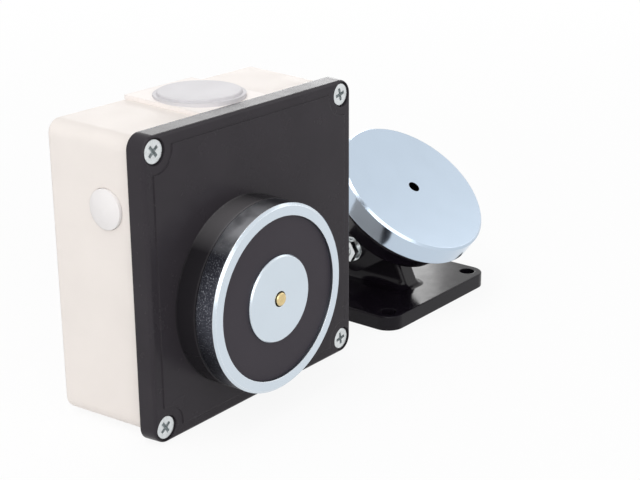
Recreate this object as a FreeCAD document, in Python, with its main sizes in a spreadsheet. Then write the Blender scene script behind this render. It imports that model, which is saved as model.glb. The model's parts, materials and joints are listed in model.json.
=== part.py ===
"""Electromagnetic door holder: a wall box with its magnet, and the keeper that goes on the door.

Lengths are millimetres and angles degrees. +Z is up and -Y is the front. The origin is the centre of
the box's wall face, so a distance "out" from the wall is -Y. The two units stand side by side on one
surface, the keeper with its disc tipped forward.
"""
import FreeCAD
import Part
import Sketcher
import os

DIMENSIONS = (
    # Back box
    ("box_rim_size", 87.0, "outer width and height of the box at its rim"),
    ("box_draft", 1.0, "growth of each side of the box from rim to wall"),
    ("box_depth", 32.5, "wall to rim"),
    ("box_shell", 2.5, "side wall at the rim"),
    ("box_back", 2.5, "back wall"),
    ("box_corner", 4.2, "corner radius of the box"),
    ("box_back_round", 1.5, "rounding of the edge at the wall"),
    ("post_size", 5.6, "side of the square corner posts inside"),
    ("pilot_depth", 18.0, "depth of the corner screw holes"),
    ("wall_hole_pitch", 60.0, "spacing of the wall screw holes"),
    ("wall_hole_radius", 2.25, "wall screw hole"),
    # Cable entry
    ("entry_width", 28.6, "width of the entry's outer lip"),
    ("entry_web", 24.0, "width of the entry between its lips"),
    ("entry_lip", 1.2, "thickness of each lip"),
    ("entry_play", 0.25, "clearance of the entry in its slot"),
    ("entry_set_back", 0.7, "gap between the entry and the cover"),
    ("entry_tail", 0.4, "gap between the entry's outer lip and the wall"),
    ("entry_step_radius", 13.8, "lower step of the knock-out"),
    ("entry_step_height", 0.8, "height of the lower step"),
    ("entry_dome_radius", 12.6, "upper step of the knock-out"),
    ("entry_dome_height", 0.9, "height of the upper step"),
    # Front cover
    ("cover_overhang", 1.5, "cover beyond the box's rim on each side"),
    ("cover_draft", 0.3, "growth of each side towards the back"),
    ("cover_thickness", 6.0, "thickness of the cover"),
    ("cover_plate", 2.8, "thickness of the plate inside the border"),
    ("cover_corner", 4.6, "corner radius of the cover"),
    ("cover_edge", 1.0, "rounding of the front edge"),
    ("panel_margin", 3.4, "border left around the raised panel"),
    ("panel_height", 0.35, "height of the raised panel"),
    ("panel_scallop", 6.4, "radius cut out of the panel round each screw"),
    ("locating_lip", 1.5, "thickness and height of the lip inside the box"),
    ("locating_length", 64.0, "length of each lip"),
    ("locating_play", 0.3, "clearance between lip and box"),
    # Cover screws
    ("screw_inset", 2.9, "cover screws inside the rim's outer faces"),
    ("screw_radius", 1.75, "radius of the screw's shank and of its pilot hole"),
    ("screw_length", 20.0, "length of a cover screw"),
    ("screw_head_radius", 3.35, "radius of the countersunk head"),
    ("screw_head_land", 0.4, "straight edge of the head"),
    ("screw_hole_play", 0.3, "clearance round the shank"),
    ("screw_head_play", 0.5, "clearance round the head"),
    ("screw_sink", 0.6, "depth of the head's top below the border"),
    ("screw_recess_width", 1.0, "width of the cross recess"),
    ("screw_recess_span", 4.0, "length of the cross recess"),
    ("screw_recess_depth", 1.5, "depth of the cross recess"),
    # Magnet
    ("magnet_x", -7.1, "magnet axis, right of the box's centre"),
    ("magnet_z", -8.3, "magnet axis, above the box's centre"),
    ("collar_radius", 28.4, "outer radius of the collar on the cover"),
    ("collar_height", 7.3, "collar in front of the cover's border"),
    ("collar_edge", 0.35, "break of the edges where collar and cup meet"),
    ("well_wall", 2.4, "wall of the well behind the collar"),
    ("well_floor", 2.5, "floor of the well"),
    ("cup_play", 0.3, "clearance of the cup in the collar"),
    ("cup_front_radius", 28.2, "outer radius of the cup"),
    ("cup_front_length", 7.2, "length of the cup in front of the collar"),
    ("cup_rear_radius", 25.4, "radius of the cup inside the collar"),
    ("cup_length", 22.5, "length of the whole cup"),
    ("cup_bottom", 5.0, "thickness of the cup's bottom"),
    ("cup_rim_bore", 24.6, "bore of the cup at its rim"),
    ("cup_rim_depth", 7.0, "depth of the rim bore"),
    ("cup_coil_bore", 22.0, "bore of the cup round the coil"),
    ("cup_chamfer", 0.7, "chamfer of the ring's outer edge"),
    ("pole_radius", 13.1, "radius of the centre pole"),
    ("pole_chamfer", 0.4, "chamfer of the pole's edge"),
    ("spigot_radius", 6.0, "radius of the pole's spigot in the cup's bottom"),
    ("potting_recess", 1.0, "resin below the ring's face"),
    ("bobbin_wall", 1.2, "wall of the bobbin"),
    ("coil_play", 0.2, "clearance round the bobbin"),
    ("winding_margin", 1.0, "winding below the edge of the bobbin"),
    # Release pin
    ("pin_radius", 2.0, "radius of the release pin"),
    ("pin_play", 0.06, "radial clearance of the pin"),
    ("pin_proud", 0.6, "pin in front of the pole's face"),
    ("pin_mouth", 0.35, "chamfer of the pin's bore at the pole's face"),
    ("pin_land", 4.0, "length of the pin's guide"),
    ("pin_head_radius", 3.3, "radius of the pin's head"),
    ("pin_head_length", 2.0, "length of the pin's head"),
    ("pin_stop_gap", 0.3, "gap between head and stop"),
    ("pin_chamber", 3.7, "radius of the spring chamber"),
    ("plug_length", 4.0, "length of the plug behind the spring"),
    ("pin_spring_coil", 2.7, "mean radius of the pin's spring"),
    ("pin_spring_wire", 0.35, "half width of the spring wire"),
    ("pin_spring_turns", 5.0, "turns of the pin's spring"),
    # Magnet screws
    ("fixing_circle", 18.0, "radius of the circle of magnet screws"),
    ("fixing_radius", 2.0, "radius of a magnet screw"),
    ("fixing_hole_play", 0.2, "clearance of the screw in the floor"),
    ("fixing_grip", 4.0, "depth of the screw in the cup"),
    ("fixing_head_radius", 3.5, "radius of a magnet screw's head"),
    ("fixing_head_height", 2.6, "height of a magnet screw's head"),
    ("fixing_socket", 1.5, "half width across the socket's flats"),
    ("fixing_washer_radius", 4.0, "radius of a spring washer"),
    ("fixing_washer_height", 1.0, "height of a spring washer"),
    ("lead_hole_radius", 3.3, "hole for the coil's leads"),
    ("lead_radius", 0.7, "radius of an insulated lead"),
    ("lead_spacing", 4.4, "spacing of the two coil leads and of the terminals"),
    ("lead_bend", 5.0, "bend radius of the leads"),
    # Circuit board
    ("board_x", 3.0, "centre of the board, right of the box's centre"),
    ("board_top_gap", 5.0, "board below the box's top wall"),
    ("board_width", 38.0, "width of the board"),
    ("board_height", 20.0, "height of the board"),
    ("board_thickness", 1.6, "thickness of the board"),
    ("board_standoff", 4.5, "height of the posts under the board"),
    ("board_post_radius", 3.0, "radius of a board post"),
    ("board_screw_inset", 3.2, "board screws from the board's edges"),
    ("board_screw_radius", 1.2, "radius of a board screw"),
    ("board_screw_length", 6.0, "length of a board screw"),
    ("board_head_radius", 2.4, "radius of a board screw's head"),
    ("board_head_height", 1.6, "height of a board screw's head"),
    # Terminal block
    ("terminal_width", 11.0, "width of the terminal block"),
    ("terminal_height", 8.0, "height of the terminal block"),
    ("terminal_depth", 10.0, "terminal block in front of the board"),
    ("terminal_entry", 1.5, "half width of a wire entry"),
    ("terminal_well", 1.9, "radius of a terminal screw's well"),
    ("terminal_screw_radius", 1.7, "radius of a terminal screw"),
    ("terminal_screw_length", 3.0, "length of a terminal screw"),
    ("terminal_slot", 0.6, "width and depth of a terminal screw's slot"),
    # Suppressor diode
    ("diode_radius", 1.35, "radius of the diode"),
    ("diode_length", 5.2, "length of the diode"),
    ("diode_wire", 0.4, "radius of the diode's wires"),
    ("diode_span", 10.0, "spacing of the diode's legs"),
    ("diode_offset", 11.0, "diode right of the board's centre"),
    # Release button
    ("button_out", 22.0, "button axis in front of the wall"),
    ("button_drop", 21.2, "button axis below the rim's top"),
    ("button_radius", 5.9, "radius of the button"),
    ("button_play", 0.1, "radial clearance of the button in the wall"),
    ("button_proud", 1.7, "dome outside the wall"),
    ("button_dome_edge", 0.7, "straight edge below the dome"),
    ("button_flange_radius", 7.2, "radius of the button's inner flange"),
    ("button_flange", 1.5, "thickness of the flange"),
    ("button_stop_gap", 0.3, "gap between flange and wall"),
    ("button_stem_radius", 2.2, "radius of the button's stem"),
    ("button_stem_length", 10.0, "length of the stem behind the flange"),
    ("button_stem_play", 0.06, "radial clearance of the stem"),
    ("button_spring_length", 6.0, "length of the button's spring"),
    ("button_spring_coil", 3.6, "mean radius of the button's spring"),
    ("button_spring_wire", 0.35, "half width of the spring wire"),
    ("button_spring_turns", 3.0, "turns of the button's spring"),
    # Switch
    ("switch_plate", 2.0, "thickness of the switch's fixing plate"),
    ("switch_plate_length", 26.0, "length of the fixing plate"),
    ("switch_width", 11.0, "width of the switch"),
    ("switch_body_length", 12.0, "height of the switch's body"),
    ("switch_body_depth", 9.0, "depth of the body behind its plate"),
    ("switch_stem_room", 1.8, "room behind the stem"),
    ("switch_screw_pitch", 20.0, "spacing of the switch screws"),
    ("switch_post_radius", 2.8, "radius of a switch post"),
    ("switch_screw_radius", 1.1, "radius of a switch screw"),
    ("switch_screw_length", 6.5, "length of a switch screw"),
    ("switch_head_radius", 2.1, "radius of a switch screw's head"),
    ("switch_head_height", 1.5, "height of a switch screw's head"),
    ("switch_lead_spacing", 5.0, "spacing of the switch's leads"),
    ("switch_lead_run", 1.2, "straight run behind the switch"),
    ("switch_lead_gap", 1.1, "switch leads beside the terminal block"),
    # Keeper base
    ("keeper_x", 92.9, "keeper right of the box's centre"),
    ("keeper_out", 12.5, "keeper's pivot in front of the wall"),
    ("keeper_size", 60.0, "width and depth of the base"),
    ("keeper_thickness", 5.0, "thickness of the base"),
    ("keeper_corner", 6.0, "corner radius of the base"),
    ("keeper_edge", 0.4, "rounding of the base's top edge"),
    ("keeper_hole_inset", 5.5, "holes from the edges of the base"),
    ("keeper_hole_radius", 2.75, "hole in the base"),
    ("lug_thickness", 8.0, "thickness of the lug"),
    ("lug_top_radius", 10.0, "radius of the lug's top"),
    ("lug_foot", 17.5, "half length of the lug at its foot"),
    ("lug_edge", 1.5, "rounding of the lug's edges"),
    ("lug_cove", 3.2, "radius of the cove round the lug's foot"),
    ("pivot_height", 19.0, "pivot above the underside of the base"),
    # Keeper holder
    ("armature_tilt", 37.2, "tilt of the disc's axis from upright"),
    ("armature_reach", 28.8, "pivot to the disc's face"),
    ("dish_rim_radius", 25.6, "radius of the dish's rim"),
    ("dish_rim_height", 2.4, "height of the dish's rim"),
    ("dish_groove", 0.6, "groove below the rim"),
    ("dish_depth", 10.0, "depth of the dish"),
    ("dish_back_radius", 21.4, "radius of the dish's back"),
    ("dish_wall", 3.2, "wall of the dish"),
    ("dish_boss_radius", 7.5, "radius of the dish's centre boss"),
    ("fork_play", 0.3, "clearance between fork and lug"),
    ("ear_thickness", 8.0, "thickness of each ear of the fork"),
    ("ear_radius", 8.4, "radius of an ear's end"),
    ("ear_root", 13.0, "half width of an ear at the dish"),
    # Armature disc
    ("disc_radius", 28.0, "radius of the disc"),
    ("disc_thickness", 8.0, "thickness of the disc"),
    ("disc_chamfer", 0.8, "chamfer of the disc's front edge"),
    ("disc_back_chamfer", 0.4, "chamfer of the disc's back edge"),
    ("disc_screw_radius", 2.0, "radius of the disc's screw"),
    ("disc_screw_recess", 3.0, "end of the screw below the disc's face"),
    ("disc_screw_play", 0.2, "clearance of the screw in the boss"),
    ("disc_screw_head_radius", 3.8, "radius of the screw's head"),
    ("disc_screw_head_height", 3.0, "height of the screw's head"),
    ("disc_screw_sink", 4.0, "depth of the head's counterbore"),
    # Pivot
    ("pivot_radius", 2.0, "radius of the pivot bolt"),
    ("pivot_play", 0.06, "radial clearance of the bolt"),
    ("pivot_washer_radius", 4.4, "radius of a pivot washer"),
    ("pivot_washer_height", 0.8, "thickness of a pivot washer"),
    ("pivot_spring_radius", 3.5, "radius of the pivot's spring washer"),
    ("pivot_spring_height", 0.9, "thickness of the spring washer"),
    ("pivot_spring_gap", 0.6, "split of the spring washer"),
    ("pivot_flats", 3.5, "half width across the flats of nut and head"),
    ("pivot_nut_height", 2.2, "height of the nut"),
    ("pivot_head_height", 2.8, "height of the bolt's head"),
    ("pivot_bolt_tail", 0.5, "bolt beyond the nut"),
    ("bolt_round", 0.3, "rounding of the bolt's end"),
    # Making allowances
    ("overcut", 1.0, "how far a cut runs past a face"),
    ("bond", 0.5, "how far a boss runs into the wall that carries it"),
    ("pilot_room", 0.3, "hole beyond the end of its screw"),
    ("small_screw_play", 0.15, "clearance of a small screw in its hole"),
)
FRONT_ROTATION = FreeCAD.Rotation(FreeCAD.Vector(1, 0, 0), 90)
LEFT_ROTATION = FreeCAD.Rotation(FreeCAD.Vector(0, 1, 0), -90)
RIGHT_ROTATION = FreeCAD.Rotation(FreeCAD.Vector(0, 1, 0), 90)
BACK_ROTATION = FreeCAD.Rotation(FreeCAD.Vector(1, 0, 0), -90)
QUARTER_BACK = FreeCAD.Rotation(FreeCAD.Vector(0, 0, 1), -90)
SCREW_TURNS = (35, 40, 8, 12)
TINY = 1e-6

doc = FreeCAD.newDocument("door_holder")
sheet = doc.addObject("Spreadsheet::Sheet", "size")
nodes = []

# Places that several pieces share
COVER_FACE = "(size.box_depth + size.cover_thickness)"
COLLAR_FACE = f"({COVER_FACE} + size.collar_height)"
RING_FACE = f"({COLLAR_FACE} + size.cup_front_length)"
CUP_BACK = f"({RING_FACE} - size.cup_length)"
CUP_FLOOR = f"({CUP_BACK} + size.cup_bottom)"
WELL_BACK = f"({CUP_BACK} - size.well_floor)"
POTTING_BACK = f"({RING_FACE} - size.cup_rim_depth)"
PIN_STOP = f"({RING_FACE} - size.pin_land)"
PIN_HEAD_BACK = f"({PIN_STOP} - size.pin_stop_gap - size.pin_head_length)"
PLUG_FACE = f"({CUP_BACK} + size.plug_length)"
BOX_SLOPE = "(size.box_draft / size.box_depth)"
BOX_WALL = "(size.box_rim_size + 2 * size.box_draft)"
COVER_SIZE = "(size.box_rim_size + 2 * size.cover_overhang)"
SCREW_PITCH = "(size.box_rim_size - 2 * size.screw_inset)"
BOX_INSIDE = "(size.box_rim_size / 2 - size.box_shell)"
COVER_INSIDE = f"({BOX_INSIDE} - size.locating_play - size.locating_lip)"
FLOOR_Z = f"(-{COVER_SIZE} / 2 - size.cover_draft)"
PIVOT_Z = f"({FLOOR_Z} + size.pivot_height)"
BOARD_BACK = "(size.box_back + size.board_standoff)"
BOARD_FACE = f"({BOARD_BACK} + size.board_thickness)"
BOARD_Z = f"({BOX_INSIDE} - size.board_top_gap - size.board_height / 2)"
BUTTON_Z = "(size.box_rim_size / 2 - size.button_drop)"
BUTTON_WALL = f"({BOX_WALL} / 2 - size.button_out * {BOX_SLOPE})"
BUTTON_FLANGE_FACE = f"({BOX_INSIDE} - size.button_stop_gap)"
BUTTON_FLANGE_BACK = f"({BUTTON_FLANGE_FACE} - size.button_flange)"
SWITCH_FACE = f"({BUTTON_FLANGE_BACK} - size.button_spring_length)"
SWITCH_PLATE_BACK = f"({SWITCH_FACE} - size.switch_plate)"
SWITCH_BACK = f"({SWITCH_PLATE_BACK} - size.switch_body_depth)"
DISC_BACK = "(size.armature_reach - size.disc_thickness)"
DISH_BACK = f"({DISC_BACK} - size.dish_depth)"
EAR_INNER = "(size.lug_thickness / 2 + size.fork_play)"
EAR_OUTER = f"({EAR_INNER} + size.ear_thickness)"
LEAD_Z = "(size.magnet_z + size.fixing_circle)"
LEAD_OUT = f"({BOARD_FACE} + size.terminal_depth / 2)"


def fill_sheet():
    """Write every driving dimension into the sheet, with its name and what it means."""
    for row, (name, number, meaning) in enumerate(DIMENSIONS, start=1):
        sheet.set(f"A{row}", meaning)
        sheet.set(f"B{row}", str(number))
        sheet.setAlias(f"B{row}", name)
    doc.recompute()


def value(expression):
    """Number that an expression gives with the sheet as it is."""
    result = sheet.evalExpression(expression)
    return float(getattr(result, "Value", result))


def bind_place(item, x, y, z, rotation=None):
    """Put an object at a place given by expressions."""
    item.Placement = FreeCAD.Placement(FreeCAD.Vector(), rotation or FreeCAD.Rotation())
    for axis, expression in (("x", x), ("y", y), ("z", z)):
        item.setExpression(f"Placement.Base.{axis}", expression)


def new_body(label, x="0", y="0", z="0", rotation=None):
    """Start a body, which becomes the node of that name."""
    body = doc.addObject("PartDesign::Body", label)
    body.Label = label
    bind_place(body, x, y, z, rotation)
    nodes.append(body)
    return body


def front_body(label, x="0", z="0"):
    """Start a body whose own Z points out of the wall and whose own Y points up."""
    return new_body(label, x, "0", z, FRONT_ROTATION)


def armature_body(label):
    """Start a body on the keeper's pivot, whose own Z is the disc's axis."""
    body = new_body(label, "size.keeper_x", "-size.keeper_out", PIVOT_Z,
                    FreeCAD.Rotation(FreeCAD.Vector(1, 0, 0), 1))
    body.setExpression("Placement.Rotation.Angle", "size.armature_tilt")
    return body


def new_sketch(body, plane="XY_Plane", height="0"):
    """Start a sketch on one of the body's own planes, raised by a height."""
    sketch = body.newObject("Sketcher::SketchObject", f"{body.Name}_sketch")
    support = next(item for item in body.Origin.OriginFeatures if item.Role == plane)
    sketch.AttachmentSupport = [(support, "")]
    sketch.MapMode = "FlatFace"
    sketch.setExpression("AttachmentOffset.Base.z", height)
    return sketch


def pin_point(sketch, geometry, position, x, y):
    """Hold a point of a sketch at two expressions, counted from the sketch's origin."""
    for kind, expression, axis in (("DistanceX", x, -2), ("DistanceY", y, -1)):
        offset = value(expression)
        if abs(offset) < TINY:
            sketch.addConstraint(Sketcher.Constraint("PointOnObject", geometry, position, axis))
            continue
        if offset > 0:
            rule = Sketcher.Constraint(kind, -1, 1, geometry, position, offset)
        else:
            rule = Sketcher.Constraint(kind, geometry, position, -1, 1, -offset)
        index = sketch.addConstraint(rule)
        sketch.setExpression(f"Constraints[{index}]", expression if offset > 0 else f"-({expression})")


def arc_between(start, end, radius, turn):
    """Arc from start to end, the short way round: turn is 1 anticlockwise and -1 clockwise."""
    middle = (start + end) * 0.5
    chord = end - start
    rise = max(radius * radius - chord.Length * chord.Length / 4, 0.0) ** 0.5
    side = FreeCAD.Vector(-chord.y, chord.x, 0).normalize()
    centre = middle + side * rise * turn
    low, high = (start, end) if turn > 0 else (end, start)
    ring = Part.Circle(centre, FreeCAD.Vector(0, 0, 1), radius)
    return Part.ArcOfCircle(ring, ring.parameter(low), ring.parameter(high))


def outline(sketch, points):
    """Draw a closed outline. A point is (x, y), or (x, y, radius, turn) where an arc follows it."""
    places = [FreeCAD.Vector(value(point[0]), value(point[1]), 0) for point in points]
    first = sketch.GeometryCount
    ends = []
    for index, point in enumerate(points):
        start = places[index]
        end = places[(index + 1) % len(points)]
        if len(point) == 2:
            sketch.addGeometry(Part.LineSegment(start, end))
            ends.append((1, 2))
            continue
        turn = point[3]
        arc = sketch.addGeometry(arc_between(start, end, value(point[2]), turn))
        ends.append((1, 2) if turn > 0 else (2, 1))
        rule = sketch.addConstraint(Sketcher.Constraint("Radius", arc, value(point[2])))
        sketch.setExpression(f"Constraints[{rule}]", point[2])
    for index, point in enumerate(points):
        before = (index - 1) % len(points)
        sketch.addConstraint(Sketcher.Constraint(
            "Coincident", first + before, ends[before][1], first + index, ends[index][0]))
        pin_point(sketch, first + index, ends[index][0], point[0], point[1])


def rectangle(sketch, width, height, x="0", y="0"):
    """Draw a rectangle about a centre."""
    left, right = f"{x} - ({width}) / 2", f"{x} + ({width}) / 2"
    low, high = f"{y} - ({height}) / 2", f"{y} + ({height}) / 2"
    outline(sketch, [(left, low), (right, low), (right, high), (left, high)])


def circle(sketch, x, y, radius):
    """Draw a circle."""
    place = FreeCAD.Vector(value(x), value(y), 0)
    ring = sketch.addGeometry(Part.Circle(place, FreeCAD.Vector(0, 0, 1), value(radius)))
    pin_point(sketch, ring, 3, x, y)
    rule = sketch.addConstraint(Sketcher.Constraint("Radius", ring, value(radius)))
    sketch.setExpression(f"Constraints[{rule}]", radius)


def hexagon(sketch, half_width, x="0", y="0"):
    """Draw a hexagon by the half width across its flats."""
    corners = []
    for turn in range(6):
        reach = f"{half_width} / cos(30)"
        corners.append((f"{x} + {reach} * cos({60 * turn + 30})", f"{y} + {reach} * sin({60 * turn + 30})"))
    outline(sketch, corners)


def four_corners(pitch):
    """Corners of a square, as pairs of expressions."""
    return [(f"{sx} * {pitch} / 2", f"{sy} * {pitch} / 2") for sx in (-1, 1) for sy in (-1, 1)]


def pad(sketch, length, symmetric=False, taper=None):
    """Add the sketch's area, pushed along its normal."""
    body = sketch.getParentGeoFeatureGroup()
    feature = body.newObject("PartDesign::Pad", f"{body.Name}_pad")
    feature.Profile = sketch
    feature.setExpression("Length", length)
    if symmetric:
        feature.SideType = "Symmetric"
    if taper:
        feature.setExpression("TaperAngle", taper)
    return feature


def pocket(sketch, depth, symmetric=False, forward=False, taper=0):
    """Cut the sketch's area, against its normal unless forward."""
    body = sketch.getParentGeoFeatureGroup()
    feature = body.newObject("PartDesign::Pocket", f"{body.Name}_pocket")
    feature.Profile = sketch
    feature.setExpression("Length", depth)
    feature.Reversed = forward
    feature.TaperAngle = taper
    if symmetric:
        feature.SideType = "Symmetric"
    doc.recompute()
    before = feature.BaseFeature.Shape.Volume
    if feature.Shape.Volume > before - TINY:
        raise RuntimeError(f"{feature.Label} cut nothing")
    return feature


def turn_profile(body, points):
    """Turn a profile of (radius, height) points about the body's own Z axis."""
    sketch = new_sketch(body, "XZ_Plane")
    outline(sketch, points)
    feature = body.newObject("PartDesign::Revolution", f"{body.Name}_turned")
    feature.Profile = sketch
    feature.ReferenceAxis = (sketch, ["V_Axis"])
    feature.Angle = 360
    return feature


def turned(label, points, x="size.magnet_x", z="size.magnet_z"):
    """Make a turned piece whose axis points out of the wall."""
    body = front_body(label, x, z)
    turn_profile(body, points)
    return body


def round_edges(body, radius, chosen):
    """Fillet the edges of the body that the test picks."""
    doc.recompute()
    names = [f"Edge{k}" for k, edge in enumerate(body.Tip.Shape.Edges, start=1) if chosen(edge)]
    if not names:
        raise RuntimeError(f"{body.Label} has no such edge")
    base = body.Tip
    feature = body.newObject("PartDesign::Fillet", f"{body.Name}_round")
    feature.Base = (base, names)
    feature.setExpression("Radius", radius)
    return feature


def along_z(edge):
    """True for an edge that runs mostly along its body's own Z."""
    span = edge.BoundBox
    return span.ZLength > 4 * max(span.XLength, span.YLength)


def at_height(height):
    """Test for edges that lie flat at one height."""
    level = value(height)
    return lambda edge: edge.BoundBox.ZLength < TINY and abs(edge.BoundBox.ZMin - level) < 1e-4


def spring(label, body, coil, wire, low, length, turns):
    """Wind a spring along the body's own Z."""
    sketch = new_sketch(body, "XZ_Plane")
    rectangle(sketch, f"2 * {wire}", f"2 * {wire}", coil, f"{low} + {wire}")
    feature = body.newObject("PartDesign::AdditiveHelix", f"{label}_coil")
    feature.Profile = sketch
    feature.ReferenceAxis = (sketch, ["V_Axis"])
    feature.Mode = "height-turns-angle"
    feature.setExpression("Height", f"{length} - 2 * {wire}")
    feature.setExpression("Turns", turns)


def group(label, shapes):
    """Make one node of several separate solids that are alike."""
    item = doc.addObject("Part::Compound", label)
    item.Label = label
    item.Links = shapes
    for shape in shapes:
        if shape in nodes:
            nodes.remove(shape)
    nodes.append(item)
    return item


def cylinder(name, radius, height, x, y, z, rotation=None):
    """Make a bare cylinder for a boolean."""
    item = doc.addObject("Part::Cylinder", name)
    item.setExpression("Radius", radius)
    item.setExpression("Height", height)
    bind_place(item, x, y, z, rotation)
    return item


def elbow(name, ring, wire, x, y, z, rotation):
    """Make a quarter bend of round wire for a boolean."""
    item = doc.addObject("Part::Torus", name)
    item.setExpression("Radius1", ring)
    item.setExpression("Radius2", wire)
    item.Angle3 = 90
    bind_place(item, x, y, z, rotation)
    return item


def fuse(name, shapes):
    """Join shapes into one solid."""
    item = doc.addObject("Part::MultiFuse", name)
    item.Label = name
    item.Shapes = shapes
    item.Refine = True
    return item


def make_back_box():
    """Moulded box: drafted walls, solid corner posts, and posts for the board and the switch."""
    body = front_body("back_box")
    sketch = new_sketch(body)
    rectangle(sketch, BOX_WALL, BOX_WALL)
    pad(sketch, "size.box_depth", taper=f"-atan({BOX_SLOPE})")
    round_edges(body, "size.box_corner", along_z)
    round_edges(body, "size.box_back_round", at_height("0"))
    doc.recompute()
    inner = BOX_INSIDE
    notch = f"({BOX_INSIDE} - size.post_size)"
    sketch = new_sketch(body, height="size.box_depth")
    outline(sketch, [
        (f"-{notch}", f"-{inner}"), (notch, f"-{inner}"), (notch, f"-{notch}"), (inner, f"-{notch}"),
        (inner, notch), (notch, notch), (notch, inner), (f"-{notch}", inner),
        (f"-{notch}", notch), (f"-{inner}", notch), (f"-{inner}", f"-{notch}"), (f"-{notch}", f"-{notch}")])
    pocket(sketch, "size.box_depth - size.box_back")
    sketch = new_sketch(body, height="size.box_depth")
    for x, y in four_corners(SCREW_PITCH):
        circle(sketch, x, y, "size.screw_radius")
    pocket(sketch, "size.pilot_depth")
    sketch = new_sketch(body, height="size.box_back")
    for x, y in four_corners("size.wall_hole_pitch"):
        circle(sketch, x, y, "size.wall_hole_radius")
    pocket(sketch, "size.box_back + size.overcut")
    sketch = new_sketch(body, height="size.box_depth")
    slot = "(size.entry_web + 2 * size.entry_play)"
    top = BOX_WALL
    outline(sketch, [(f"-{slot} / 2", f"{inner} - size.overcut"), (f"{slot} / 2", f"{inner} - size.overcut"),
                     (f"{slot} / 2", top), (f"-{slot} / 2", top)])
    pocket(sketch, "size.box_depth - size.box_back")
    sketch = new_sketch(body, height="size.box_back - size.bond")
    for x, y in board_screw_places():
        circle(sketch, x, y, "size.board_post_radius")
    pad(sketch, f"{BOARD_BACK} - size.box_back + size.bond")
    sketch = new_sketch(body, height=BOARD_BACK)
    for x, y in board_screw_places():
        circle(sketch, x, y, "size.board_screw_radius")
    pocket(sketch, "size.board_screw_length - size.board_thickness + size.pilot_room")
    sketch = new_sketch(body, "YZ_Plane", f"-{BOX_INSIDE} - size.bond")
    for place in switch_screw_places():
        circle(sketch, place, "size.button_out", "size.switch_post_radius")
    pad(sketch, f"{BOX_INSIDE} + size.bond - {SWITCH_FACE}")
    sketch = new_sketch(body, "YZ_Plane", f"-{SWITCH_FACE}")
    for place in switch_screw_places():
        circle(sketch, place, "size.button_out", "size.switch_screw_radius")
    pocket(sketch, "size.switch_screw_length - size.switch_plate + size.pilot_room")
    sketch = new_sketch(body, "YZ_Plane", f"-{BOX_INSIDE} + size.overcut")
    circle(sketch, BUTTON_Z, "size.button_out", "size.button_radius + size.button_play")
    pocket(sketch, "size.box_shell + size.box_draft + 2 * size.overcut")


def make_cable_entry():
    """Slide-in cable entry: a web between two lips, and a stepped knock-out on the outer lip."""
    body = front_body("cable_entry_insert")
    front = "(size.box_depth - size.entry_set_back)"
    back = "size.box_back"
    tail = "size.entry_tail"
    inner_top = f"({BOX_INSIDE} - size.entry_play)"
    inner_low = f"({inner_top} - size.entry_lip)"

    def surface(out):
        return f"({BOX_WALL} / 2 - ({out}) * {BOX_SLOPE})"

    layers = (
        ("size.entry_width", (surface(tail), tail), (f"{surface(tail)} + size.entry_lip", tail),
         (f"{surface(front)} + size.entry_lip", front), (surface(front), front)),
        ("size.entry_web", (inner_low, back), (f"{surface(back)} + size.entry_lip / 2", back),
         (f"{surface(front)} + size.entry_lip / 2", front), (inner_low, front)),
        ("size.entry_width", (inner_low, back), (inner_top, back), (inner_top, front), (inner_low, front)),
    )
    for width, *corners in layers:
        sketch = new_sketch(body, "YZ_Plane")
        outline(sketch, corners)
        pad(sketch, width, symmetric=True)
    middle = f"(({front} + {back}) / 2)"
    lip_top = f"({surface(middle)} + size.entry_lip)"
    step_top = f"({lip_top} + size.entry_step_height)"
    dome_top = f"({step_top} + size.entry_dome_height)"
    for low, high, radius in ((f"({lip_top} - size.entry_lip / 2)", step_top, "size.entry_step_radius"),
                              (f"({step_top} - size.entry_lip / 2)", dome_top, "size.entry_dome_radius")):
        sketch = new_sketch(body, "XZ_Plane", f"-{low}")
        circle(sketch, "0", middle, radius)
        disc = pad(sketch, f"{high} - {low}")
        disc.Reversed = True
    level = value(dome_top)
    round_edges(body, "size.entry_dome_height / 2",
                lambda edge: edge.BoundBox.YLength < TINY and abs(edge.BoundBox.YMin - level) < 1e-4)


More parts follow.
